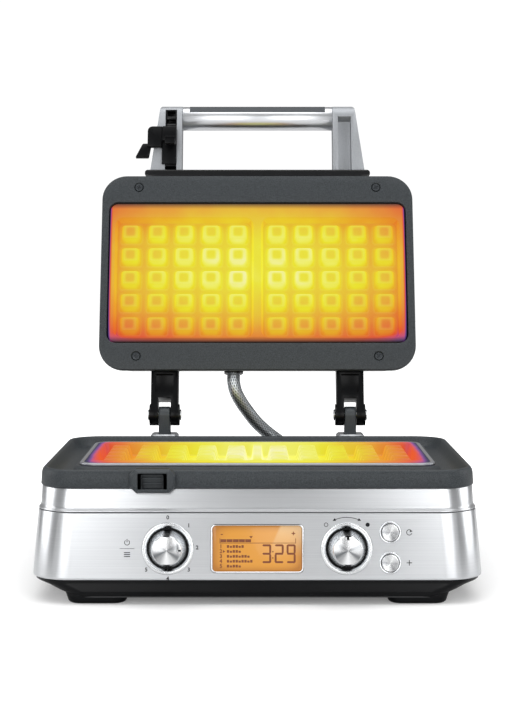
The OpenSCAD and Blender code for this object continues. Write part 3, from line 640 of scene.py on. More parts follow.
def heat_picture(name, turned, half_wide, half_deep, middle, spread, edge, ring, peak):
    """The heat picture's paint for one plate. turned brings the Object coordinates to the plate's own
    X and Y in mm; the glow is hottest at middle and falls by spread (X, Y) towards the ends. Each row
    of the sums below names its value and what it is worked out from."""
    made, tree, shader = finish(name, "#0c0a08", Roughness=0.45, Specular_IOR_Level=0.25)
    spot = add(tree, "ShaderNodeTexCoord")
    flat = add(tree, "ShaderNodeMapping", turned, {"Vector": spot.outputs["Object"]})
    axes = add(tree, "ShaderNodeSeparateXYZ", links={"Vector": flat.outputs[0]})
    drift = add(tree, "ShaderNodeTexNoise", {"Scale": 0.05, "Detail": 2.0}, {"Vector": flat.outputs[0]})
    values = {"across": axes.outputs["X"], "deep": axes.outputs["Y"], "drift": drift.outputs["Fac"]}
    half_pegs_x, half_pegs_y = 2.5 * peg_across, 2.5 * peg_along
    sums = (
        # How far a point is from the hottest place, as a share of each spread
        ("from_x", "SUBTRACT", "across", middle[0]), ("off_x", "ABSOLUTE", "from_x", 0),
        ("share_x", "DIVIDE", "off_x", spread[0]), ("fall_x", "POWER", "share_x", 2.2),
        ("from_y", "SUBTRACT", "deep", middle[1]), ("off_y", "ABSOLUTE", "from_y", 0),
        ("share_y", "DIVIDE", "off_y", spread[1]), ("fall_y", "POWER", "share_y", 2.4),
        ("fall", "ADD", "fall_x", "fall_y"), ("even_heat", "SUBTRACT", peak, "fall"),
        # Where a point is in its own peg's square, from the peg's middle
        ("aside", "ABSOLUTE", "across", 0), ("in_waffle", "SUBTRACT", "aside", waffle_aside),
        ("count_x", "ADD", "in_waffle", 3 * half_pegs_x), ("fold_x", "PINGPONG", "count_x", peg_across / 2),
        ("shift_x", "SUBTRACT", "fold_x", peg_across / 2), ("in_x", "ABSOLUTE", "shift_x", 0),
        ("count_y", "ADD", "deep", 3 * half_pegs_y - cavity_back),
        ("fold_y", "PINGPONG", "count_y", peg_along / 2),
        ("shift_y", "SUBTRACT", "fold_y", peg_along / 2), ("in_y", "ABSOLUTE", "shift_y", 0),
        ("fourth_x", "POWER", "in_x", 4), ("fourth_y", "POWER", "in_y", 4),
        ("fourths", "ADD", "fourth_x", "fourth_y"), ("reach", "POWER", "fourths", 0.25),
        ("waffle_off", "ABSOLUTE", "in_waffle", 0), ("in_pegs_x", "LESS_THAN", "waffle_off", half_pegs_x),
        ("from_back", "SUBTRACT", "deep", cavity_back), ("back_off", "ABSOLUTE", "from_back", 0),
        ("in_pegs_y", "LESS_THAN", "back_off", half_pegs_y), ("in_pegs", "MULTIPLY", "in_pegs_x", "in_pegs_y"),
        # Each peg shows as a bright ring round a cooler middle, with a dull line between pegs
        ("rise", "SMOOTHSTEP", "reach", (2.4, 5.2, 0, 1)), ("drop", "SMOOTHSTEP", "reach", (6.4, 9.0, 1, 0)),
        ("band", "MULTIPLY", "rise", "drop"), ("rings", "MULTIPLY", "band", "in_pegs"),
        ("ring_heat", "MULTIPLY", "rings", ring), ("ringed", "ADD", "even_heat", "ring_heat"),
        ("between", "SMOOTHSTEP", "reach", (9.2, 11.2, 0, 1)), ("lines", "MULTIPLY", "between", "in_pegs"),
        ("line_heat", "MULTIPLY", "lines", ring * 0.4), ("lined", "SUBTRACT", "ringed", "line_heat"),
        # Slow drift, as a heat camera shows
        ("swing", "SUBTRACT", "drift", 0.5), ("drift_heat", "MULTIPLY", "swing", 0.12),
        ("drifted", "ADD", "lined", "drift_heat"),
        # The ends fall to violet and black, and the long edges fade into the dark coat
        ("left_x", "SUBTRACT", half_wide, "aside"), ("rim_x", "LINEAR", "left_x", (0, edge[0], 0, 1)),
        ("deep_off", "ABSOLUTE", "deep", 0), ("left_y", "SUBTRACT", half_deep, "deep_off"),
        ("rim_y", "LINEAR", "left_y", (0, edge[1], 0, 1)), ("heat", "MULTIPLY", "drifted", "rim_x"),
    )
    for result, kind, first, second in sums:
        if kind in ("SMOOTHSTEP", "LINEAR"):
            limits = dict(zip(("From Min", "From Max", "To Min", "To Max"), second))
            node = add(tree, "ShaderNodeMapRange", limits, {"Value": values[first]}, interpolation_type=kind)
        else:
            node = add(tree, "ShaderNodeMath", operation=kind)
            for socket, source in zip(node.inputs, (first, second)):
                if source in values:
                    tree.links.new(values[source], socket)
                else:
                    socket.default_value = source
        values[result] = node.outputs[0]
    tone = add(tree, "ShaderNodeValToRGB", links={"Fac": values["heat"]})
    ramp = tone.color_ramp
    for place, colour in heat_colours[1:-1]:
        ramp.elements.new(place).color = linear(colour)
    ramp.elements[0].color = linear(heat_colours[0][1])
    ramp.elements[-1].color = linear(heat_colours[-1][1])
    glow = add(tree, "ShaderNodeMix", {6: linear("#1a1512")}, {0: values["rim_y"], 7: tone.outputs["Color"]},
               data_type="RGBA")
    tree.links.new(glow.outputs[2], shader.inputs["Emission Color"])
    shader.inputs["Emission Strength"].default_value = 0.93
    return made


lower_plate = waffle_casting(258, 132, 11, cavity_back)
soften(lower_plate, 0.35, 2, 50)
# Cast aluminium with a baked PTFE coat, shown by its heat: the light comes from the paint itself,
# over a nearly black coat with a low gloss.
lower_heat = heat_picture(
    "lower_plate_heat", {"Location": (0, -plate_y * 1000, 0), "Scale": (1000, 1000, 1000)},
    128.5, 65.5, (0, 10), (143, 165), (7.0, 3.0), 0.02, 0.95)
plate_rim = 94.5
settle(lower_plate, "lower_plate_casting", plate_frame @ Matrix.Translation((0, 0, plate_rim)), lower_heat,
       "base", "lower_waffle_plate", slot="waffle_plate", angle=30)

# The bead round the plate: bare machined aluminium where the casting meets the tray.
bead = loft([
    (93.0, 259.6, 133.6, 12, 0), (94.0, 259.8, 133.8, 12, 0), (94.6, 258.4, 132.4, 11.4, 0),
    (94.8, 256.4, 130.4, 10.6, 0), (94.7, 254.4, 128.4, 9.8, 0), (94.52, 253.6, 127.6, 9.4, 0),
    (94.4, 257.5, 131.5, 11, 0), (93.0, 258.2, 132.2, 11.2, 0)], steps=12, hollow=True)
machined, tree, shader = finish("machined_aluminium_bead", "#9b9da2", Metallic=0.8, Roughness=0.4)
speckle(tree, shader, 900.0, 3.0, gloss=(0.3, 0.5), dent=0.1)
settle(bead, "plate_bead", plate_frame, machined, "base", angle=60)


# ---- Latch catch ---------------------------------------------------------------------------
# A chamfered block cast on the front of the tray. The lid's latch hooks into the slot in its
# raised frame; two bars cross the slot, and two notches below drain it.
catch = slab((-16.35, -109, 79), (16.35, -102.5, 96))
pick("EDGE", lambda middle, run: abs(run.y) > 4 and middle.z > 95)
bpy.ops.mesh.bevel(offset=4.2, segments=1, affect="EDGES")
pick("EDGE", lambda middle, run: abs(run.y) > 4 and middle.z < 80)
bpy.ops.mesh.bevel(offset=4.6, segments=1, affect="EDGES")
pick("FACE", lambda middle, normal: normal.y < -0.9)
bpy.ops.mesh.inset(thickness=2.4, depth=0)
pick("VERT", lambda spot: spot.y < -108.9 and (abs(abs(spot.x) - 16.35) < 0.01 or spot.z < 79.01
                                              or spot.z > 95.99 or abs(spot.x) > 13.96))
bpy.ops.transform.translate(value=(0, 2.6, 0))
soften(catch, 0.5, 2, 20)
frame_block = slab((-10.6, -109, 80.4), (10.6, -106, 93.4))
pick("EDGE", lambda middle, run: abs(run.y) > 2)
bpy.ops.mesh.bevel(offset=0.9, segments=2, affect="EDGES")
only(frame_block)
back_tab = slab((-12, -104.5, 94.7), (12, -99.6, 96))
soften(back_tab, 0.4, 2, 30)
slot_cut = slab((-7.5, -112, 82), (7.5, -104, 92))
pick("EDGE", lambda middle, run: abs(run.y) > 2)
bpy.ops.mesh.bevel(offset=0.7, segments=2, affect="EDGES")
only(slot_cut)
slot_again = copy(slot_cut, (0, 0, 0))[0]
notches = []
for x in (-6, 6):
    notch = slab((x - 1.5, -112, 77), (x + 1.5, -106.2, 80.0))
    only(notch)
    notches.append(notch)
cut(catch, slot_cut, *notches)
cut(frame_block, slot_again)
soften(frame_block, 0.25, 2, 30)
bars = []
for height in (85.1, 88.7):
    bar = slab((-7.6, -106.6, height), (7.6, -105.2, height + 0.9))
    soften(bar, 0.25, 2, 30)
    bars.append(bar)
catch = joined(catch, frame_block, back_tab, *bars)
settle(catch, "catch_block", plate_frame @ Matrix.Translation((-73.6, 0, 0)), charcoal, "base", "latch_catch",
       slot="cast_nonstick", angle=30)


# ---- Display -------------------------------------------------------------------------------
# An amber backlit liquid-crystal display behind a clear window, in a thin bright frame. It
# shows five numbered settings as rows, a browning bar with its pointer, and the time left.
display_frame = loft([
    (-4, 65.4, 34.2, 3.4, 0), (-0.4, 65.4, 34.2, 3.4, 0), (0.35, 65.0, 33.8, 3.3, 0),
    (0.5, 64.3, 33.1, 3.1, 0), (0.3, 63.4, 32.4, 2.8, 0), (-0.6, 62.4, 31.6, 2.4, 0),
    (-4.05, 62.4, 31.6, 2.4, 0)], steps=8, hollow=True)
# Acrylic or ABS plated with bright chromium: a mirror with a faint haze of handling.
chrome, tree, shader = finish("bright_chromium_plate", "#dfe1e4", Metallic=1.0, Roughness=0.12)
speckle(tree, shader, 180.0, 3.0, gloss=(0.08, 0.2))
settle(display_frame, "display_frame", panel_frame, chrome, "base", "display_bezel", slot="display_frame",
       angle=50)

glass = loft([
    (-4, 62.2, 31.4, 2.3, 0), (-0.75, 62.2, 31.4, 2.3, 0), (-0.6, 61.6, 30.8, 2.1, 0)], steps=8)
# A lit liquid-crystal cell: an even amber from edge-lit diffuser film, deeper towards its border, under clear
# acrylic. One soft slanting sheen at its upper right is a painted reflection, mixed into the glow colour.
cell_half_x, cell_half_y = 31.2, 15.8
amber, tree, shader = finish("amber_backlit_cell", "#2c1a06", Roughness=0.3, Coat_Weight=0.2,
                             Coat_Roughness=0.04)
spot = add(tree, "ShaderNodeTexCoord")
flat = add(tree, "ShaderNodeMapping", {"Location": (0, 0, -panel_point.z * 1000), "Scale": (1000, 0, 1000)},
           {"Vector": spot.outputs["Object"]})
axes = add(tree, "ShaderNodeSeparateXYZ", links={"Vector": flat.outputs[0]})
wide = add(tree, "ShaderNodeMath", {1: cell_half_x}, {0: axes.outputs["X"]}, operation="DIVIDE")
tall = add(tree, "ShaderNodeMath", {1: cell_half_y}, {0: axes.outputs["Z"]}, operation="DIVIDE")
near_x = add(tree, "ShaderNodeMath", {1: 6.0}, {0: wide.outputs[0]}, operation="POWER")
near_y = add(tree, "ShaderNodeMath", {1: 6.0}, {0: tall.outputs[0]}, operation="POWER")
border = add(tree, "ShaderNodeMath", links={0: near_x.outputs[0], 1: near_y.outputs[0]}, operation="ADD")
tone = add(tree, "ShaderNodeValToRGB", links={"Fac": border.outputs[0]})
tone.color_ramp.elements[0].position, tone.color_ramp.elements[0].color = 0.1, linear("#eda233")
tone.color_ramp.elements[1].position, tone.color_ramp.elements[1].color = 1.0, linear("#c0791f")
# Painted reflection: a pale slanting band at the upper right, mixed into the glow colour
lean_x = add(tree, "ShaderNodeMath", {1: 0.45}, {0: axes.outputs["Z"]}, operation="MULTIPLY")
slant = add(tree, "ShaderNodeMath", links={0: axes.outputs["X"], 1: lean_x.outputs[0]}, operation="SUBTRACT")
painted_glare_edge = add(tree, "ShaderNodeMapRange", {"From Min": 8.0, "From Max": 10.5}, {"Value": slant.outputs[0]},
            interpolation_type="SMOOTHSTEP")
high = add(tree, "ShaderNodeMapRange", {"From Min": -6.0, "From Max": 12.0}, {"Value": axes.outputs["Z"]})
painted_glare = add(tree, "ShaderNodeMath", links={0: painted_glare_edge.outputs["Result"], 1: high.outputs["Result"]},
           operation="MULTIPLY")
part = add(tree, "ShaderNodeMath", {1: 0.42}, {0: painted_glare.outputs[0]}, operation="MULTIPLY")
cell_with_painted_glare = add(tree, "ShaderNodeMix", {7: linear("#fbe2ae")}, {0: part.outputs[0], 6: tone.outputs["Color"]},
          data_type="RGBA")
tree.links.new(cell_with_painted_glare.outputs[2], shader.inputs["Emission Color"])
shader.inputs["Emission Strength"].default_value = 0.86
settle(glass, "display_cell", panel_frame, amber, "base", "display_window", slot="display_amber", angle=50)


def bar(left, low, right, high, lift=-0.58, thick=0.06):
    """A flat printed bar on the front panel, in mm."""
    strip = slab((left, low, lift - 0.04), (right, high, lift + thick))
    only(strip)
    return strip


def figure(text, middle, tall, lift=-0.6, thick=0.08):
    """A numeral as a thin mesh, centred on a point of the front panel, in mm."""
    bpy.ops.object.select_all(action="DESELECT")
    bpy.ops.object.text_add(location=(0, 0, 0))
    letter = bpy.context.object
    letter.data.body = text
    letter.data.size = tall * 1.42
    letter.data.align_x = "CENTER"
    letter.data.align_y = "CENTER"
    letter.data.extrude = thick / 2
    letter.data.resolution_u = 4
    letter.data.offset = tall * 0.042
    bpy.ops.object.convert(target="MESH")
    bpy.ops.object.mode_set(mode="EDIT")
    bpy.ops.mesh.select_all(action="SELECT")
    bpy.ops.mesh.remove_doubles(threshold=0.001)
    bpy.ops.object.mode_set(mode="OBJECT")
    letter.location = (middle[0], middle[1], lift + thick / 2)
    bpy.ops.object.transform_apply(location=True, rotation=True, scale=True)
    return letter


def segment_digit(text, left, low, wide, tall, stroke):
    """One seven-segment digit from bevelled bars, in mm."""
    half = tall / 2
    places = {
        "a": (left, low + tall - stroke, left + wide, low + tall),
        "b": (left + wide - stroke, low + half, left + wide, low + tall),
        "c": (left + wide - stroke, low, left + wide, low + half),
        "d": (left, low, left + wide, low + stroke), "e": (left, low, left + stroke, low + half),
        "f": (left, low + half, left + stroke, low + tall),
        "g": (left, low + half - stroke / 2, left + wide, low + half + stroke / 2)}
    out = []
    for name in {"2": "abged", "3": "abgcd", "9": "abcdfg"}[text]:
        x0, y0, x1, y1 = places[name]
        gap = stroke * 0.18
        if name in "agd":
            one = slab((x0 + gap, y0, -0.62), (x1 - gap, y1, -0.52))
        else:
            one = slab((x0, y0 + gap, -0.62), (x1, y1 - gap, -0.53))
        pick("EDGE", lambda middle, run: abs(run.z) > 0.05)
        bpy.ops.mesh.bevel(offset=stroke * 0.42, segments=1, affect="EDGES")
        only(one)
        out.append(one)
    return out


cells = []
for digit, left in (("3", 3.4), ("2", 12.2), ("9", 20.6)):
    cells += segment_digit(digit, left, -10.2, 6.4, 13.2, 1.4)
for low in (-7.0, -2.6):
    cells.append(bar(10.5, low, 11.4, low + 0.9))
# The browning bar's three edges, its five filled cells and its pointer
cells += [bar(-26.5, 3.7, 27.2, 4.1), bar(-26.5, 4.1, -26.1, 7.2), bar(26.8, 4.1, 27.2, 7.2)]
for k in range(5):
    cells.append(bar(-25.9 + k * 4.35, 4.5, -21.8 + k * 4.35, 6.6))
pointer = slab((-5.6, 7.2, -0.6), (-3.2, 8.8, -0.52))
pick("VERT", lambda spot: spot.y < 8)
bpy.ops.transform.resize(value=(0.08, 1, 1), center_override=(-4.4, 7.2, -0.56))
only(pointer)
cells.append(pointer)
# Five numbered rows of plain blocks, with an arrow at the chosen one
for k, blocks in enumerate((6, 5, 8, 9, 5)):
    low = 0.4 - k * 3.45
    cells.append(figure(str(k + 1), (-25.6, low + 1.1), 2.6))
    for j in range(blocks):
        cells.append(bar(-21.4 + j * 2.05, low + 0.15, -19.8 + j * 2.05, low + 2.05 - 0.5 * (j % 3 == 1)))
arrow = slab((-24.2, -3.0, -0.6), (-22.6, -1.0, -0.52))
pick("VERT", lambda spot: spot.x > -23)
bpy.ops.transform.resize(value=(1, 0.08, 1), center_override=(-22.6, -2.0, -0.56))
only(arrow)
cells += [arrow, figure("-", (-25, 10.3), 3.2), figure("+", (25.4, 10.4), 3.4)]
figures = joined(*cells)
# The cell's dark segments: brown, because the amber backlight leaks through the crystal.
crystal, tree, shader = finish("dark_crystal_segments", "#5b2c0c", Roughness=0.5)
spot = add(tree, "ShaderNodeTexCoord")
leak = add(tree, "ShaderNodeTexNoise", {"Scale": 500.0, "Detail": 1.0}, {"Vector": spot.outputs["Object"]})
tone = add(tree, "ShaderNodeValToRGB", links={"Fac": leak.outputs["Fac"]})
tone.color_ramp.elements[0].color, tone.color_ramp.elements[1].color = linear("#542708"), linear("#6b3510")
tree.links.new(tone.outputs["Color"], shader.inputs["Base Color"])
tree.links.new(tone.outputs["Color"], shader.inputs["Emission Color"])
shader.inputs["Emission Strength"].default_value = 0.6
settle(figures, "display_figures", panel_frame, crystal, "base", slot="display_amber")


# ---- Dials ---------------------------------------------------------------------------------
# Two turned aluminium knobs stand in dished rings: the left one switches on and picks one of
# five settings, the right one turns without end. Their flat faces are spun bright.
def turned(profile, sides=96, closed=False):
    """Starts a round piece from (radius, height) points in mm, each extruded from the one before."""
    bpy.ops.object.select_all(action="DESELECT")
    radius, height = profile[0]
    bpy.ops.mesh.primitive_circle_add(vertices=sides, radius=radius, location=(0, 0, 0),
                                      fill_type="NOTHING" if closed else "NGON")
    piece = bpy.context.object
    bpy.ops.object.mode_set(mode="EDIT")
    bpy.ops.mesh.select_mode(type="VERT")
    bpy.ops.mesh.select_all(action="SELECT")
    bpy.ops.transform.translate(value=(0, 0, height))
    for next_radius, next_height in profile[1:] + (profile[:1] if closed else []):
        bpy.ops.mesh.extrude_region_move(TRANSFORM_OT_translate={"value": (0, 0, next_height - height)})
        bpy.ops.transform.resize(value=(next_radius / radius, next_radius / radius, 1),
                                 center_override=(0, 0, next_height))
        radius, height = next_radius, next_height
    bpy.ops.mesh.select_all(action="SELECT")
    bpy.ops.mesh.remove_doubles(threshold=0.0005)
    bpy.ops.mesh.normals_make_consistent(inside=False)
    return piece


# The painted reflection fans, bright and dark, as (share of a turn, share of the light tone)
face_painted_reflection_fans = ((0.0, 0.45), (0.07, 0.1), (0.13, 0.35), (0.25, 1.0), (0.33, 0.7), (0.41, 0.15), (0.47, 0.5),
             (0.56, 0.3), (0.66, 0.7), (0.75, 1.0), (0.84, 0.6), (0.92, 0.35), (1.0, 0.45))
side_painted_reflection_fans = ((0.0, 1.0), (0.2, 1.0), (0.228, 0.0), (0.272, 0.0), (0.3, 1.0),
             (0.7, 1.0), (0.728, 0.0), (0.772, 0.0), (0.8, 1.0), (1.0, 1.0))


def spun_with_painted_fans(name, middle, dark, light, fans=face_painted_reflection_fans, shift=0.0):
    """Aluminium faced on a lathe round a middle in the row frame, its rings too fine to see. Bright and dark fans
    that meet at the centre are painted into its colour: a painted reflection."""
    made, tree, shader = finish(name, "#c9cbce", Metallic=1.0, Roughness=0.24)
    spot = add(tree, "ShaderNodeTexCoord")
    flat = add(tree, "ShaderNodeMapping", {"Location": tuple(-c for c in middle)},
               {"Vector": spot.outputs["Object"]})
    level = add(tree, "ShaderNodeMapping", {"Rotation": (-math.pi / 2, 0, 0)}, {"Vector": flat.outputs[0]})
    twist = add(tree, "ShaderNodeMapping", {"Rotation": (0, 0, shift)}, {"Vector": level.outputs[0]})
    fan = add(tree, "ShaderNodeTexGradient", links={"Vector": twist.outputs[0]}, gradient_type="RADIAL")
    tone = add(tree, "ShaderNodeValToRGB", links={"Fac": fan.outputs["Fac"]})
    ramp = tone.color_ramp
    ramp.interpolation = "EASE"
    low, high = linear(dark), linear(light)
    for place, share in fans[1:-1]:
        ramp.elements.new(place)
    for element, (place, share) in zip(ramp.elements, fans):
        element.position = place
        element.color = [a + (b - a) * share for a, b in zip(low, high)]
    tree.links.new(tone.outputs["Color"], shader.inputs["Base Color"])
    rings = add(tree, "ShaderNodeTexWave", {"Scale": 700.0, "Distortion": 0.3}, {"Vector": level.outputs[0]},
                wave_type="RINGS", rings_direction="Z")
    dent = add(tree, "ShaderNodeBump", {"Strength": 0.02, "Distance": 0.0001}, {"Height": rings.outputs["Fac"]})
    tree.links.new(dent.outputs["Normal"], shader.inputs["Normal"])
    return made


# Aluminium turned and then bead-blasted fine: a soft bright white-silver, for rings and rims.
satin, tree, shader = finish("satin_turned_aluminium", "#d9dbdd", Metallic=1.0, Roughness=0.27)
speckle(tree, shader, 700.0, 1.0, gloss=(0.22, 0.3), dent=0.015)

for side, dial, mark in ((-1, "menu", -math.pi / 2), (1, "browning", 0.0)):
    here = panel_frame @ Matrix.Translation((side * dial_x, 0, 0))
    ring = turned([(18.5, 0.0), (18.45, 0.45), (18.0, 0.85), (17.2, 1.0), (16.0, 0.85), (15.1, 0.3),
                   (14.6, -0.6), (14.3, -3.0), (3.7, -3.0), (3.7, -5.0), (17.0, -5.0), (17.0, 0.0)], closed=True)
    settle(ring, dial + "_ring", here, satin, "base", dial + "_dial_bezel", slot="turned_aluminium", angle=50)

    knob = turned([(13.3, -0.8), (13.3, 0.5), (13.0, 1.5), (12.3, 4.0), (11.6, 8.0), (11.0, 12.0), (10.6, 15.0),
                   (10.35, 15.9), (9.95, 16.25), (9.7, 16.1), (9.6, 16.15)])
    only(knob)
    notch = slab((-0.8, 7.6, 15.3), (0.8, 14, 17.6))
    placed(notch, Matrix.Rotation(mark, 4, "Z"))
    cut(knob, notch)
    pointer = slab((-0.55, 7.9, 15.2), (0.55, 10.1, 15.5))
    soften(pointer, 0.08, 1, 30)
    placed(pointer, Matrix.Rotation(mark, 4, "Z"))
    # The knob's face and side get painted reflection: bright and dark fans in their colour
    face = spun_with_painted_fans(dial + "_spun_face_painted_fans", here @ Vector((0, 0, 16)), "#4c5054", "#f4f5f6")
    edge = spun_with_painted_fans(dial + "_turned_edge_painted_fans", here @ Vector((0, 0, 16)), "#101214", "#e4e6e8", side_painted_reflection_fans)
    settle(knob, dial + "_knob", here, edge, dial + "_dial", dial + "_dial", slot="turned_aluminium", angle=40)
    knob.data.materials.append(face)
    outward = (here.to_3x3() @ Vector((0, 0, 1))).normalized()
    top = here @ Vector((0, 0, 16.15))
    for polygon in knob.data.polygons:
        if polygon.normal.dot(outward) > 0.99 and abs((polygon.center - top).dot(outward)) < 0.0002:
            polygon.material_index = 1
    settle(pointer, dial + "_pointer", here, black_abs, dial + "_dial")


# ---- Push buttons --------------------------------------------------------------------------
# Two small aluminium buttons with spun faces, in raised polished rings: restart above and
# extra time below.
for name, up in zip(("restart", "extra_time"), button_up):
    here = panel_frame @ Matrix.Translation((button_x, up, 0))
    button = turned([(1.8, -10.2), (1.8, -4.4), (6.1, -4.4), (6.1, 1.5), (5.95, 1.95), (5.6, 2.15), (5.3, 2.1),
                     (3.0, 2.0), (0.5, 1.95)], sides=64)
    # The button's face gets painted reflection: bright and dark fans in its colour
    face = spun_with_painted_fans(name + "_spun_face_painted_fans", here @ Vector((0, 0, 2)), "#9a9c9f", "#eeeff0", shift=0.5)
    settle(button, name + "_cap", here, face, name + "_button", name + "_button", slot="turned_aluminium",
           angle=40)
collars = []
for up in button_up:
    collar = turned([(8.0, 0.0), (7.95, 0.5), (7.5, 1.0), (6.95, 1.05), (6.5, 0.7), (6.4, -4.0), (7.3, -4.0),
                     (7.3, 0.0)], sides=64, closed=True)
    placed(collar, Matrix.Translation((button_x, up, 0)))
    collars.append(collar)
settle(joined(*collars), "button_collars", panel_frame, chrome, "base", "button_rings",
       slot="turned_aluminium", angle=50)


# ---- Printed marks -------------------------------------------------------------------------
# Plain numbers and signs are pad printed on the steel in black ink, about 0.05 mm thick: the
# five settings, on and off, light and dark, start again, and more.
ink_low, ink_high = -0.03, 0.05


def arc(radius, wide, start, sweep, middle):
    """A flat printed arc on the front panel: radius and width in mm, angles in degrees."""
    bpy.ops.object.select_all(action="DESELECT")
    bpy.ops.mesh.primitive_plane_add(size=1, location=(0, 0, 0), rotation=(math.pi / 2, 0, 0))
    ribbon = bpy.context.object
    bpy.ops.object.transform_apply(location=True, rotation=True, scale=True)
    bpy.ops.object.mode_set(mode="EDIT")
    bpy.ops.transform.resize(value=(wide, 1, ink_high - ink_low), center_override=(0, 0, 0))
    bpy.ops.transform.translate(value=(radius, 0, (ink_high + ink_low) / 2))
    bpy.ops.mesh.delete(type="ONLY_FACE")
    bpy.ops.mesh.select_mode(type="EDGE")
    bpy.ops.mesh.select_all(action="SELECT")
    bpy.ops.mesh.spin(steps=max(6, int(sweep / 6)), angle=math.radians(sweep), center=(0, 0, 0), axis=(0, 0, 1))
    bpy.ops.mesh.select_all(action="SELECT")
    if sweep >= 360:
        bpy.ops.mesh.remove_doubles(threshold=0.001)
    else:
        bpy.ops.mesh.select_all(action="DESELECT")
        bpy.ops.mesh.select_non_manifold()
        bpy.ops.mesh.edge_face_add()
    return placed(ribbon, Matrix.Translation((*middle, 0)) @ Matrix.Rotation(math.radians(start + sweep), 4, "Z"))


def arrow_head(tip, size, turn):
    """A printed triangle with its tip at a point, pointing turn degrees from up."""
    head = slab((-size * 0.5, -size, ink_low), (size * 0.5, 0, ink_high))
    pick("VERT", lambda spot: spot.y > -0.01)
    bpy.ops.transform.resize(value=(0.04, 1, 1), center_override=(0, 0, 0))
    return placed(head, Matrix.Translation((*tip, 0)) @ Matrix.Rotation(math.radians(turn), 4, "Z"))


prints = []
number_spots = ((0, 21.8), (14.8, 16.2), (20.7, 0.7), (14.8, -14.8), (0, -21.1), (-15.1, -14.8))
for number, (x, y) in zip("012345", number_spots):
    prints.append(figure(number, (x - dial_x, y), 2.7, ink_low, ink_high - ink_low))
# On and off, and the list of settings
power_x, sign_y = -dial_x - 28.6, 4.3
ink_bar = (ink_low + 0.04, ink_high)
prints += [arc(1.75, 0.5, 125, 290, (power_x, sign_y)),
           bar(power_x - 0.25, sign_y + 0.2, power_x + 0.25, sign_y + 2.4, *ink_bar),
           bar(power_x - 5.2, -0.15, power_x + 5.2, 0.15, *ink_bar)]
for low in (-3.1, -4.45, -5.8):
    prints.append(bar(power_x - 2.2, low, power_x + 2.2, low + 0.6, *ink_bar))
# Light to dark: an arc with two heads, between a small ring and a full dot
prints.append(arc(22, 0.45, 66, 48, (dial_x, 0)))
for side in (-1, 1):
    bend = math.radians(90 - side * 27)
    prints.append(arrow_head((dial_x + 22 * math.cos(bend), 22 * math.sin(bend)), 2.2, -side * (90 + 25)))
prints += [arc(1.3, 0.4, 0, 360, (dial_x - 14.6, 16.8)), arc(0.75, 1.45, 0, 360, (dial_x + 14.6, 16.8))]
# Start again, and more
sign_x = button_x + 13.4
restart_up, more_up = button_up
prints += [arc(1.9, 0.5, 60, 285, (sign_x, restart_up)), arrow_head((sign_x + 2.3, restart_up + 0.75), 1.9, -100),
           bar(sign_x - 1.9, more_up - 0.27, sign_x + 1.9, more_up + 0.27, *ink_bar),
           bar(sign_x - 0.27, more_up - 1.9, sign_x + 0.27, more_up + 1.9, *ink_bar)]
# Two-part printing ink: dense black with a dry, slightly uneven surface.
ink, tree, shader = finish("pad_printed_ink", "#141416", Roughness=0.7, Specular_IOR_Level=0.2)
speckle(tree, shader, 1800.0, 2.0, tones=((0, "#0e0e10"), (1, "#232326")))
settle(joined(*prints), "printed_marks", panel_frame, ink, "base", slot="black_trim", angle=30)


# ---- Cord bush and conduit boss ------------------------------------------------------------
# Two black mouldings at the back: the bush that the mains lead goes through, and the angled
# boss that the lid's conduit runs into. A third holds the conduit's other end in the lid.
for node, body in (("cord_inlet", "base"), ("conduit_gland", "base"), ("lid_conduit_gland", "lid")):
    settle(refined(node, 0.5), node + "_moulding", millimetres, black_abs, body, node, slot="black_plastic")


# ---- Floating hinge ------------------------------------------------------------------------
# Two cast posts joined by a yoke under the deck slide up in their collars. Black clevis arms on
# the lid turn on steel pins, whose domed heads show at the outer sides.
posts = refined("hinge_posts", 0.8)
# Aluminium die casting with a fine epoxy powder coat: dark grey, a dull sheen, a slight orange peel.
powder, tree, shader = finish("epoxy_powder_coat", "#33383c", Roughness=0.48)
speckle(tree, shader, 900.0, 3.0, tones=((0, "#2b3034"), (1, "#3d4347")), dent=0.25)
settle(posts, "post_castings", millimetres, powder, "hinge_carriage", "hinge_posts", slot="hinge_grey")
settle(refined("hinge_yoke", 0.8), "yoke_bar", millimetres, zinc, "hinge_carriage", "hinge_yoke",
       slot="cast_silver")
for side in ("left", "right"):
    settle(refined(side + "_hinge_arm", 1.3), side + "_clevis", millimetres, black_abs, "lid",
           side + "_hinge_arm", slot="black_plastic")
settle(refined("hinge_pins", 0.9), "pin_set", millimetres, satin, "lid", "hinge_pins", slot="hardware_steel",
       angle=50)


# ---- Lid flange ----------------------------------------------------------------------------
# A flat rim casting with the same speckled non-stick coat as the tray goes round the upper
# plate. Four screws in shallow round recesses hold it to the lid's shell.
hinge_line = Vector(joints["lid_hinge"]["pos_m"])
lid_open = math.radians(108)
lid_frame = Matrix.Translation(hinge_line) @ Matrix.Rotation(-lid_open, 4, "X") @ millimetres
flange_mid, plate_mid = -120.75, -120.5
flange = loft([
    (-15.5, 262.6, 168.5, 19.5, flange_mid), (-15.25, 264.4, 170.3, 20.4, flange_mid),
    (-14.5, 265.5, 171.4, 21, flange_mid), (-11.5, 265.5, 171.4, 21, flange_mid),
    (-10.7, 264.6, 170.5, 20.5, flange_mid), (-10.5, 263, 169, 19.7, flange_mid),
    (-10.5, 254, 125, 8.4, plate_mid), (-10.8, 253.1, 124.1, 8, plate_mid),
    (-14.7, 253.1, 124.1, 8, plate_mid), (-15.3, 253.9, 124.9, 8.4, plate_mid),
    (-15.5, 255.2, 126.2, 9, plate_mid)], steps=12, hollow=True)
screw_spots = [(x, y) for x in (-101.5, 101.5) for y in (-47, -196)]
only(flange)
for x, y in screw_spots:
    well = turned([(4.3, -16), (4.3, -15.2), (3.7, -14.6), (3.7, -13.5)], sides=32)
    placed(well, Matrix.Translation((x, y, 0)))
    cut(flange, well)
settle(flange, "flange_casting", lid_frame, charcoal, "lid", "lid_flange", slot="cast_nonstick")

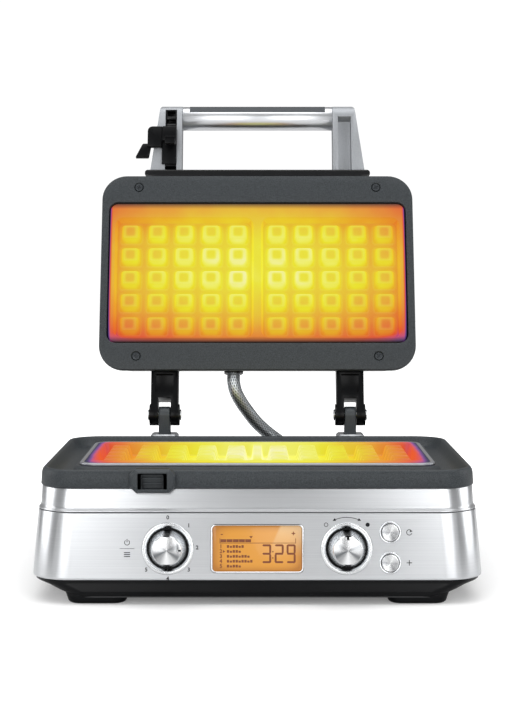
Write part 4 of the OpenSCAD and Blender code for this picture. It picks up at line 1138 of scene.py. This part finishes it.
screws = []
for k, (x, y) in enumerate(screw_spots):
    screw = turned([(3.45, -13.7), (3.45, -14.7), (3.1, -15.2), (2.2, -15.35), (1.2, -15.38)], sides=32)
    only(screw)
    wings = []
    for turn in (0, 90):
        wing = slab((-1.9, -0.32, -16), (1.9, 0.32, -14.6))
        placed(wing, Matrix.Rotation(math.radians(turn + 20 * k), 4, "Z"))
        wings.append(wing)
    cut(screw, *wings)
    screws.append(placed(screw, Matrix.Translation((x, y, 0))))
# Steel screws blackened in hot oil: near black, with a slight metallic gleam on the edges.
black_steel, tree, shader = finish("oil_blackened_steel", "#26282b", Metallic=0.7, Roughness=0.4)
speckle(tree, shader, 700.0, 3.0, tones=((0, "#2a2d30"), (1, "#474b4f")), gloss=(0.3, 0.5))
settle(joined(*screws), "flange_screw_set", lid_frame, black_steel, "lid", "flange_screws",
       slot="hardware_steel")


# ---- Upper waffle plate --------------------------------------------------------------------
# The second casting, pegs outwards, is fixed in the flange. Its heat shows in the same way,
# hottest a little above its middle when the lid stands open.
upper_plate = waffle_casting(251.6, 122.6, 7.6, -cavity_back)
soften(upper_plate, 0.35, 2, 50)
turn_back = Matrix.Rotation(lid_open, 4, "X")
plate_from = Vector((0, -plate_mid, 0)) - turn_back @ (hinge_line * 1000)
upper_heat = heat_picture(
    "upper_plate_heat",
    {"Location": plate_from[:], "Rotation": (lid_open, 0, 0), "Scale": (1000, 1000, 1000)},
    125.8, 61.3, (-3, -7), (235, 94), (2.6, 5.0), 0.13, 0.81)
settle(upper_plate, "upper_plate_casting",
       lid_frame @ Matrix.Translation((0, plate_mid, -14.5)) @ Matrix.Rotation(math.pi, 4, "X"),
       upper_heat, "lid", "upper_waffle_plate", slot="waffle_plate", angle=30)


# ---- Lid shell and cover -------------------------------------------------------------------
# Over the plate sits a black moulded shell. A pressed steel cover closes its top, and a glossy
# black trim strip finishes the front edge that the handle is screwed to.
settle(refined("lid_housing", 0.6), "lid_shell", millimetres, black_abs, "lid", "lid_housing",
       slot="black_plastic")
settle(refined("lid_cover", 1.0), "steel_cover", millimetres, steel, "lid", "lid_cover", slot="brushed_steel",
       angle=40)

trim = slab((-97, -212.9, -13.9), (97, -206.7, 15.9))
pick("EDGE", lambda middle, run: abs(run.z) > 1)
bpy.ops.mesh.bevel(offset=2.6, segments=5, affect="EDGES")
bpy.ops.mesh.select_all(action="SELECT")
for height in (-8.2, -7.2):
    bpy.ops.mesh.bisect(plane_co=(0, 0, height), plane_no=(0, 0, 1))
    bpy.ops.mesh.select_all(action="SELECT")
for x in range(-88, 89, 8):
    bpy.ops.mesh.bisect(plane_co=(x, 0, 0), plane_no=(1, 0, 0))
    bpy.ops.mesh.select_all(action="SELECT")
pick("FACE", lambda middle, normal: -8.2 < middle.z < -7.2 and abs(normal.z) < 0.5)
bpy.ops.transform.resize(value=(0.994, 0.84, 1), center_override=(0, -209.8, 0))
soften(trim, 0.7, 3, 40)
# ABS from a polished mould, for trim: black with sharp glossy lights.
gloss_abs, tree, shader = finish("polished_black_abs", "#0b0c0e", Roughness=0.12, IOR=1.53)
speckle(tree, shader, 60.0, 4.0, gloss=(0.08, 0.2))
settle(trim, "trim_strip", lid_frame, gloss_abs, "lid", "lid_trim", slot="black_trim")


# ---- Handle --------------------------------------------------------------------------------
# Two die-cast arms are screwed to the trim from inside their troughs and carry a round metal
# grip. The left trough has a black liner with two ribs, where the latch works.
# Aluminium die casting, shot-blasted and lacquered: an even bright grey with a soft sheen.
cast_aluminium, tree, shader = finish("lacquered_aluminium_casting", "#989b9f", Metallic=0.4,
                                      Roughness=0.42)
speckle(tree, shader, 1400.0, 3.0, tones=((0, "#898c90"), (1, "#a6a9ad")), dent=0.12)
for side in ("left", "right"):
    settle(refined(side + "_handle_arm", 1.0), side + "_arm_casting", millimetres, cast_aluminium, "lid",
           side + "_handle_arm", slot="cast_silver")

liner = slab((-80.0, -269.6, -8.6), (-70.05, -213.3, 2.4))
pick("EDGE", lambda middle, run: abs(run.z) > 1 and middle.y < -260)
bpy.ops.mesh.bevel(offset=1.5, segments=3, affect="EDGES")
pick("FACE", lambda middle, normal: normal.z < -0.9)
bpy.ops.mesh.inset(thickness=0.8, depth=0)
bpy.ops.mesh.extrude_region_move(TRANSFORM_OT_translate={"value": (0, 0, 10.2)})
only(liner)
ribs = []
for y in (-263.2, -256.4):
    rib = slab((-79.4, y - 1.3, -7.0), (-70.7, y + 1.3, 1.0))
    soften(rib, 0.6, 3, 30)
    ribs.append(rib)
pin_way = turned([(2.6, -12), (2.6, 12)], sides=24)
placed(pin_way, Matrix.Translation((-75, -220, -4)) @ Matrix.Rotation(math.pi / 2, 4, "Y"))
boss_way = slab((-81, -233.6, -14), (-69, -212, 1.2))
only(boss_way)
cut(liner, pin_way, boss_way)
settle(joined(liner, *ribs), "arm_liner", lid_frame, gloss_abs, "lid", slot="black_trim")

grip = turned([(9.6, -65.3), (10.1, -65.3), (10.3, -65.1), (10.3, 65.1), (10.1, 65.3), (9.6, 65.3), (9.55, 65.0),
               (9.55, -65.0)], closed=True)
only(grip)
# Aluminium tube, drawn and brushed along its length, under clear lacquer.
brushed_tube, tree, shader = finish("brushed_aluminium_tube", "#d4d6d9", Metallic=1.0, Roughness=0.3)
speckle(tree, shader, 1.0, 2.0, stretch=(30, 2500, 2500), gloss=(0.24, 0.36), dent=0.06)
grip_frame = lid_frame @ Matrix.Translation((0, -265.5, 1)) @ Matrix.Rotation(math.pi / 2, 4, "Y")
settle(grip, "grip", grip_frame, brushed_tube, "lid", "grip_tube", slot="turned_aluminium", angle=50)
# A dark strip lies on the grip's outer side: a painted reflection, standing in for the dark band that the round
# tube reflects there
strip = arc(10.28, 0.4, -132, 120, (0, 0))
bpy.ops.object.mode_set(mode="EDIT")
bpy.ops.mesh.select_all(action="SELECT")
bpy.ops.transform.translate(value=(0, 0, -(ink_low + ink_high) / 2))
bpy.ops.transform.resize(value=(1, 1, 118 / (ink_high - ink_low)), center_override=(0, 0, 0))
soften(strip, 0.12, 2, 50)
# The strip's finish: charcoal, matt, with a fine spark texture, a dark sheet put where the tube shows a dark
# reflection.
painted_reflection_band, tree, shader = finish("charcoal_painted_reflection_band", "#46494d", Roughness=0.6, Specular_IOR_Level=0.3)
speckle(tree, shader, 1200.0, 2.0, tones=((0, "#34373a"), (1, "#4c5054")), dent=0.2)
settle(strip, "grip_painted_reflection_strip", grip_frame, painted_reflection_band, "lid", slot="black_trim", angle=50)
settle(refined("handle_screws", 0.25), "arm_screw_set", millimetres, black_steel, "lid", "handle_screws",
       slot="hardware_steel")


# ---- Latch ---------------------------------------------------------------------------------
# A black lever on a steel pin under the left arm: a thumb tab outside and a hook that snaps
# into the catch on the tray.
latch_mid = -75
blocks = []
for low, high, edge in (
        ((latch_mid - 4.6, -233, -10.6), (latch_mid + 4.6, -217, -5), 0.5),
        ((latch_mid - 7.6, -252.6, -12.4), (latch_mid + 4.8, -218.6, -10.4), 0.5),
        ((latch_mid - 7.6, -252.6, -15), (latch_mid + 4.8, -239, -10.4), 1.0),
        ((-95, -252.4, -15), (latch_mid - 7.5, -233.4, -10.4), 1.0),
        ((-105.4, -237, -13.6), (-91.6, -224.4, -8.6), 1.0),
        ((latch_mid - 4.4, -239.5, -24.6), (latch_mid + 4.2, -235.5, -10.6), 0.6),
        ((latch_mid - 4.4, -239.5, -24.6), (latch_mid + 4.2, -232.6, -21.8), 0.6)):
    block = slab(low, high)
    if low[0] == -95:
        # The outer shoulder slopes off
        pick("EDGE", lambda middle, run: abs(run.z) > 1 and middle.x < -94 and middle.y < -252)
        bpy.ops.mesh.bevel(offset=4.2, segments=4, affect="EDGES")
    if low[0] == -105.4:
        # The thumb tab narrows towards its root and its tip dips
        pick("VERT", lambda spot: spot.x < -105 and spot.y < -236)
        bpy.ops.transform.translate(value=(6.2, 0, 0))
        pick("VERT", lambda spot: spot.x > -92 and spot.y > -225)
        bpy.ops.transform.translate(value=(-2.2, 0, 0))
    soften(block, edge, 3, 30)
    blocks.append(block)
boss = turned([(2.35, -4.6), (4.0, -4.6), (4.2, -4.3), (4.2, 4.3), (4.0, 4.6), (2.35, 4.6)], sides=48, closed=True)
placed(boss, Matrix.Translation((latch_mid, -220, -4)) @ Matrix.Rotation(math.pi / 2, 4, "Y"))
blocks.append(boss)
settle(joined(*blocks), "latch_moulding", lid_frame, black_abs, "latch", "latch_lever", slot="black_plastic")
settle(refined("latch_pin", 0.3), "latch_pin_rod", millimetres, satin, "lid", "latch_pin", slot="hardware_steel")


# ---- Inner parts ---------------------------------------------------------------------------
# What is inside the base and the lid keeps its own shape and takes the finish of the real part.
def dress(material, *nodes):
    """Gives frame nodes one finish."""
    for name in nodes:
        frame["nodes"][name].data.materials.clear()
        frame["nodes"][name].data.materials.append(material)


def mottled(name, dark, light, grain, rough, metal=0.0, dent=0.1):
    """A finish whose colour and gloss drift between two tones. grain is the mottle's size in mm."""
    made, tree, shader = finish(name, light, Metallic=metal)
    speckle(tree, shader, 1000.0 / grain, 4.0, tones=((0.3, dark), (0.7, light)),
            gloss=(rough - 0.08, rough + 0.08), dent=dent)
    return made


# Nitrile rubber feet: matt black, faintly dusty
dress(mottled("nitrile_rubber", "#141415", "#222224", 1.5, 0.85, dent=0.3), "rubber_feet")
# Base cover moulded in black ABS with a coarse spark texture
dress(mottled("spark_textured_abs", "#131416", "#1e2023", 0.6, 0.55, dent=0.4), "base_cover")
# Zinc-plated steel for screws and springs
dress(mottled("zinc_plated_steel", "#8f9396", "#c4c8cb", 0.8, 0.3, metal=1.0), "base_screws", "upper_button_spring",
      "lower_button_spring")
# Nickel alloy heating tube, tinted brown and blue by its own heat
dress(mottled("heat_tinted_sheath", "#3a2b26", "#5c4a42", 6.0, 0.4, metal=0.9), "lower_heating_element",
      "upper_heating_element")
# Aluminised steel sheet with its spangle
dress(mottled("aluminised_sheet", "#a9adb0", "#cfd2d4", 5.0, 0.35, metal=1.0), "lower_heat_shield",
      "upper_heat_shield")
# Ceramic thermostat bodies: unglazed cream steatite
dress(mottled("steatite_ceramic", "#cdc4ac", "#e3dcc8", 1.2, 0.6), "lower_thermostat", "upper_thermostat")
# Glass epoxy boards under green solder mask, with the weave just showing
dress(mottled("green_solder_mask", "#1d5a34", "#2f7a48", 1.0, 0.35, dent=0.2), "control_board", "power_board")
# Dark phenolic and ABS component bodies
dress(mottled("component_moulding", "#17181b", "#26282c", 0.9, 0.5), "display_module", "buzzer", "tact_switches",
      "menu_encoder", "browning_encoder")
# Polyester tape wound round the transformer, glossy over a paper layer
dress(mottled("yellow_polyester_tape", "#b98d14", "#d8ae2c", 3.0, 0.3), "transformer")
# Relay case moulded in blue PBT
dress(mottled("blue_pbt_moulding", "#1c4f8c", "#2b66aa", 1.2, 0.32), "power_relay")
# Free-cutting steel spindles
dress(mottled("bright_steel_bar", "#9a9ea1", "#d0d3d5", 0.7, 0.25, metal=1.0), "menu_dial_shaft",
      "browning_dial_shaft")
